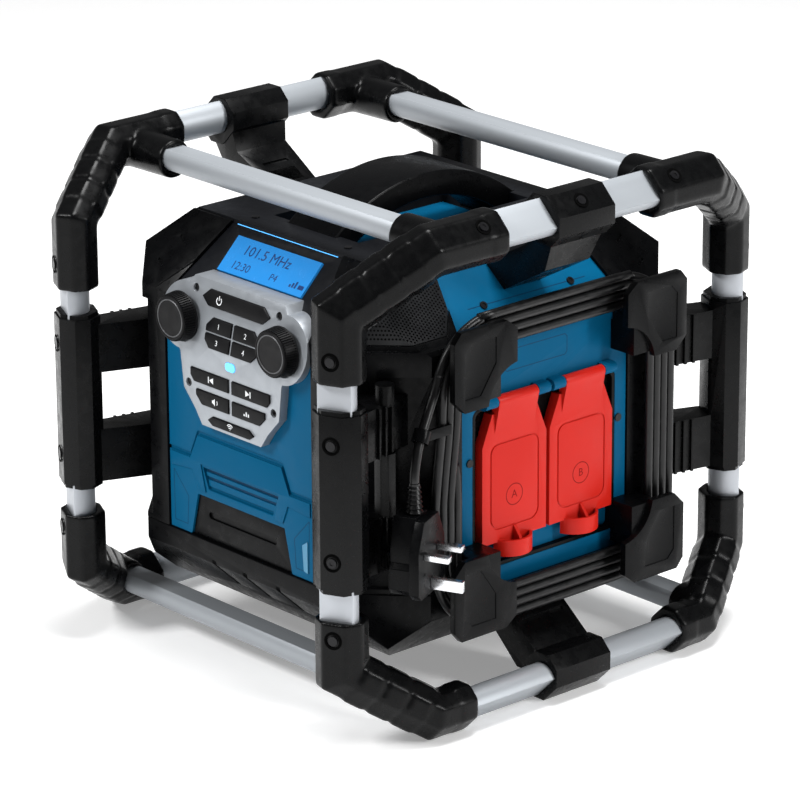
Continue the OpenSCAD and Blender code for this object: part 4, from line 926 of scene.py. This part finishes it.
def hole_points(side):
    """Places and directions of the holes: rays of a shifted grid that meet the sheet squarely."""
    outward = Vector((side, -side, 0)).normalized()
    along = Vector((side, side, 0)).normalized()
    look = (outward + Vector((0, 0, 1))).normalized()
    up_face = (Vector((0, 0, 1)) - outward).normalized()
    middle = mm(GRID_OUT * outward.x, GRID_OUT * outward.y, GRID_Z)

    def hit(u, v):
        start = middle + along * u + up_face * v + look * REACH
        place, normal, _, _ = sheet_tree.ray_cast(start, -look, 2 * REACH)
        return (place, normal) if place and normal.dot(look) > SQUARELY else (None, None)

    found = []
    for row in range(-ROWS, ROWS + 1):
        for col in range(-COLUMNS, COLUMNS + 1):
            u, v = (col + 0.5 * (row % 2)) * PITCH, row * PITCH * ROW_STEP
            place, normal = hit(u, v)
            around = ((RIM, 0), (-RIM, 0), (0, RIM), (0, -RIM))
            if place and all(hit(u + du, v + dv)[0] for du, dv in around):
                found.append((place + normal * LIFT, normal))
    return found


for side, where in ((1, "right"), (-1, "left")):
    found = hole_points(side)
    mesh = bpy.data.meshes.new("holes")
    mesh.from_pydata([tuple(p) for p, n in found], [], [])
    attribute = mesh.attributes.new("facing", "FLOAT_VECTOR", "POINT")
    for i, (p, n) in enumerate(found):
        attribute.data[i].vector = n
    holes = grow(holes_tree, "grille_hole_shade_" + where, mesh)
    add_on(holes, "radio")
    print(holes.name, len(found), "holes")


# %% [markdown]
# The prints on the buttons are generic signs: a power sign, numbers, skip arrows. A
# picture of them would blur when seen close, so they are outlines with a little
# thickness. They follow the control plate, which stands upright below and leans back
# above. A sign rides on its button and moves with it.

# %% Signs on the control plate
BUTTON_FACE = 156.7  # the buttons' upright faces, from the middle, in mm
LEAN_FROM, LEAN = 238, 8 / 39  # the plate leans back above this height, by this much for each mm


def on_plate(x, z, lift):
    """A point of the button faces' surface: upright at first, leaning back above a height."""
    return mm(x, -(BUTTON_FACE + lift) + max(0.0, z - LEAN_FROM) * LEAN, z)


def sign(bm, outline, thick=0.12):
    a = [bm.verts.new(on_plate(x, z, -0.05)) for x, z in outline]
    b = [bm.verts.new(on_plate(x, z, thick)) for x, z in outline]
    bm.faces.new(a)
    bm.faces.new(list(reversed(b)))
    for i in range(len(outline)):
        j = (i + 1) % len(outline)
        bm.faces.new((a[i], b[i], b[j], a[j]))


def arc(x, z, r, w, start, end, steps=14):
    turn = [radians(start + (end - start) * k / steps) for k in range(steps + 1)]
    return ([(x + (r + w / 2) * cos(a), z + (r + w / 2) * sin(a)) for a in turn]
            + [(x + (r - w / 2) * cos(a), z + (r - w / 2) * sin(a)) for a in reversed(turn)])


def bar(x, z, w, h):
    return [(x - w / 2, z - h / 2), (x + w / 2, z - h / 2), (x + w / 2, z + h / 2), (x - w / 2, z + h / 2)]


def letters(text, size, x, z, name, material, spot, thick=0.12):
    """Text as a closed print; spot turns local x, y and lift into a place."""
    curve = bpy.data.curves.new(name, "FONT")
    curve.body, curve.size, curve.align_x, curve.align_y = text, size, "CENTER", "CENTER"
    curve.extrude, curve.resolution_u = thick / 2, 3
    obj = bpy.data.objects.new(name, curve)
    bpy.context.collection.objects.link(obj)
    made = plain_mesh(obj, name)
    for v in made.data.vertices:
        v.co = spot(x + v.co.x, z + v.co.y, v.co.z + thick / 2)
    made.data.materials.clear()
    made.data.materials.append(material)
    return made


signs = {
    "power_button": [arc(-17, 270.3, 2.5, 0.7, 125, 415), bar(-17, 272.2, 0.7, 3.2)],
    "previous_button": [[(-17, 212.6), (-17, 217), (-21, 214.8)], bar(-21.9, 214.8, 0.9, 4.4)],
    "next_button": [[(17, 217), (17, 212.6), (21, 214.8)], bar(21.9, 214.8, 0.9, 4.4)],
    "mute_button": [[(-18.5, 199), (-17.4, 199), (-15.6, 197.4), (-15.6, 202.6), (-17.4, 201),
                     (-18.5, 201)], arc(-15.2, 200, 2.2, 0.5, -40, 40, 8)],
    "equaliser_button": [bar(15.4 + 2.2 * k, 200 - 1.6 + h / 2, 1.2, h)
                         for k, h in enumerate((1.4, 3.2, 2.2))],
    "wireless_button": ([arc(0, 184, r, 0.55, 45, 135, 8) for r in (1.6, 2.9, 4.1)]
                        + [arc(0, 184.1, 0.01, 0.9, 0, 350, 10)]),
}
for button, outlines in signs.items():
    made = solid("sign_" + button, print_white, lambda bm: [sign(bm, o) for o in outlines])
    add_on(made, button)
for n, (x, z) in enumerate(((-14, 253.3), (14, 253.3), (-14, 242.2), (14, 242.2)), 1):
    made = letters(str(n), 5.2, x, z, "number_%d" % n, print_white, on_plate)
    add_on(made, "preset_button_%d" % n)
print(len(signs) + 4, "signs")


# %% [markdown]
# The display is a lit blue window that shows the time and a frequency in dark
# figures. They could be built of segments; text objects turned into meshes are
# simpler and read well at this size. What it shows is generic.

# %% Display
GLASS = 1.2  # the window's face stands this far over the frame, in mm


def on_display(x, y, lift):
    return display_face @ Vector((x, y, GLASS + lift))


for text, name, size, x, y in (("101.5 MHz", "shown_101_5", 11, -6, 5.2),
                               ("12:30", "shown_12_30", 8.5, -24, -7.4),
                               ("P4", "shown_P4", 7.5, 10, -7.4)):
    add_on(letters(text, size, x, y, name, display_ink, on_display, 0.06), "radio")


def strength_bars(bm):
    outlines = [bar(28 + 2.6 * k, -9.4 + h / 2, 1.7, h) for k, h in enumerate((2.0, 3.6, 5.2))]
    for outline in outlines + [bar(38.6, -7.6, 5.4, 3.2)]:
        slab(bm, outline, GLASS - 0.05, GLASS + 0.06, display_face)


bars = solid("signal_bars", display_ink, strength_bars)
add_on(bars, "radio")
print("display shows 3 words and bars")


# %% [markdown]
# The outlet covers carry an engraved letter in a ring, so that a user can tell the
# outlets apart. A cut would break up the cover's rounded face, so the engraving is a
# thin, darker inlay that moves with its cover; its darker red is painted shade of the
# engraving.

# %% Outlet letters
COVER_FACE, LETTER_Z = 147, 147  # the covers' face from the middle, and the letters' height, in mm
# The darker red letter and ring: painted shade of the engraving.
letter_ring = [(7.2, 0), (7.8, 0), (7.8, 0.06), (7.2, 0.06), (7.2, 0)]
for letter, y in (("A", -31), ("B", 31)):
    spot = lambda u, v, lift, y=y: mm(COVER_FACE + lift - 0.02, y + u, LETTER_Z + v)
    made = letters(letter, 8, 0, 0, "letter_" + letter, red_shade, spot, 0.05)
    ring_place = face_on((COVER_FACE, y, LETTER_Z), Y, Z)
    ring_mesh = solid("letter_ring_" + letter, red_shade, lambda bm: lathe(bm, letter_ring, 48, ring_place))
    for obj in (made, ring_mesh):
        add_on(obj, "outlet_cover_" + letter.lower())
print("two letters")


# %% [markdown]
# A plain pale floor and large soft lamps keep the light even. Black rubber only
# shows its form through highlights. A sky alone would light it flatly, so broad
# lamps stand left, right and above: each draws a soft line along every rounded edge
# and tube.

# %% Floor and light
floor_finish = finish("studio_floor", (0.86, 0.86, 0.86), 0.7, depth=0.0, mottle=0.01, glow=0.32)
bpy.ops.mesh.primitive_plane_add(size=30, location=(0, 0, -0.0002))
floor = bpy.context.object
floor.name = "studio_floor"
floor.data.materials.append(floor_finish)
world = bpy.context.scene.world or bpy.data.worlds.new("studio")
bpy.context.scene.world = world
world.use_nodes = True
world.node_tree.nodes["Background"].inputs["Color"].default_value = (1, 1, 1, 1)
world.node_tree.nodes["Background"].inputs["Strength"].default_value = 0.16


def lamp(name, place, target, size, power):
    data = bpy.data.lights.new(name, "AREA")
    data.shape, data.size, data.size_y, data.energy = "RECTANGLE", size[0], size[1], power
    obj = bpy.data.objects.new(name, data)
    bpy.context.collection.objects.link(obj)
    way = Vector(target) - Vector(place)
    obj.matrix_world = Matrix.Translation(place) @ way.to_track_quat("-Z", "Y").to_matrix().to_4x4()


# Each: name, place, target, width and height in metres, power in watts
lamp("key", (-0.7, -2.0, 2.0), (0, 0, 0.2), (0.7, 0.7), 60)
lamp("side", (2.3, 0.9, 1.3), (0, 0, 0.2), (0.35, 1.4), 44)
lamp("top", (0.2, 0.2, 2.2), (0, 0, 0.2), (0.9, 0.9), 60)
bpy.context.scene.view_settings.view_transform = "Standard"
print("light set")
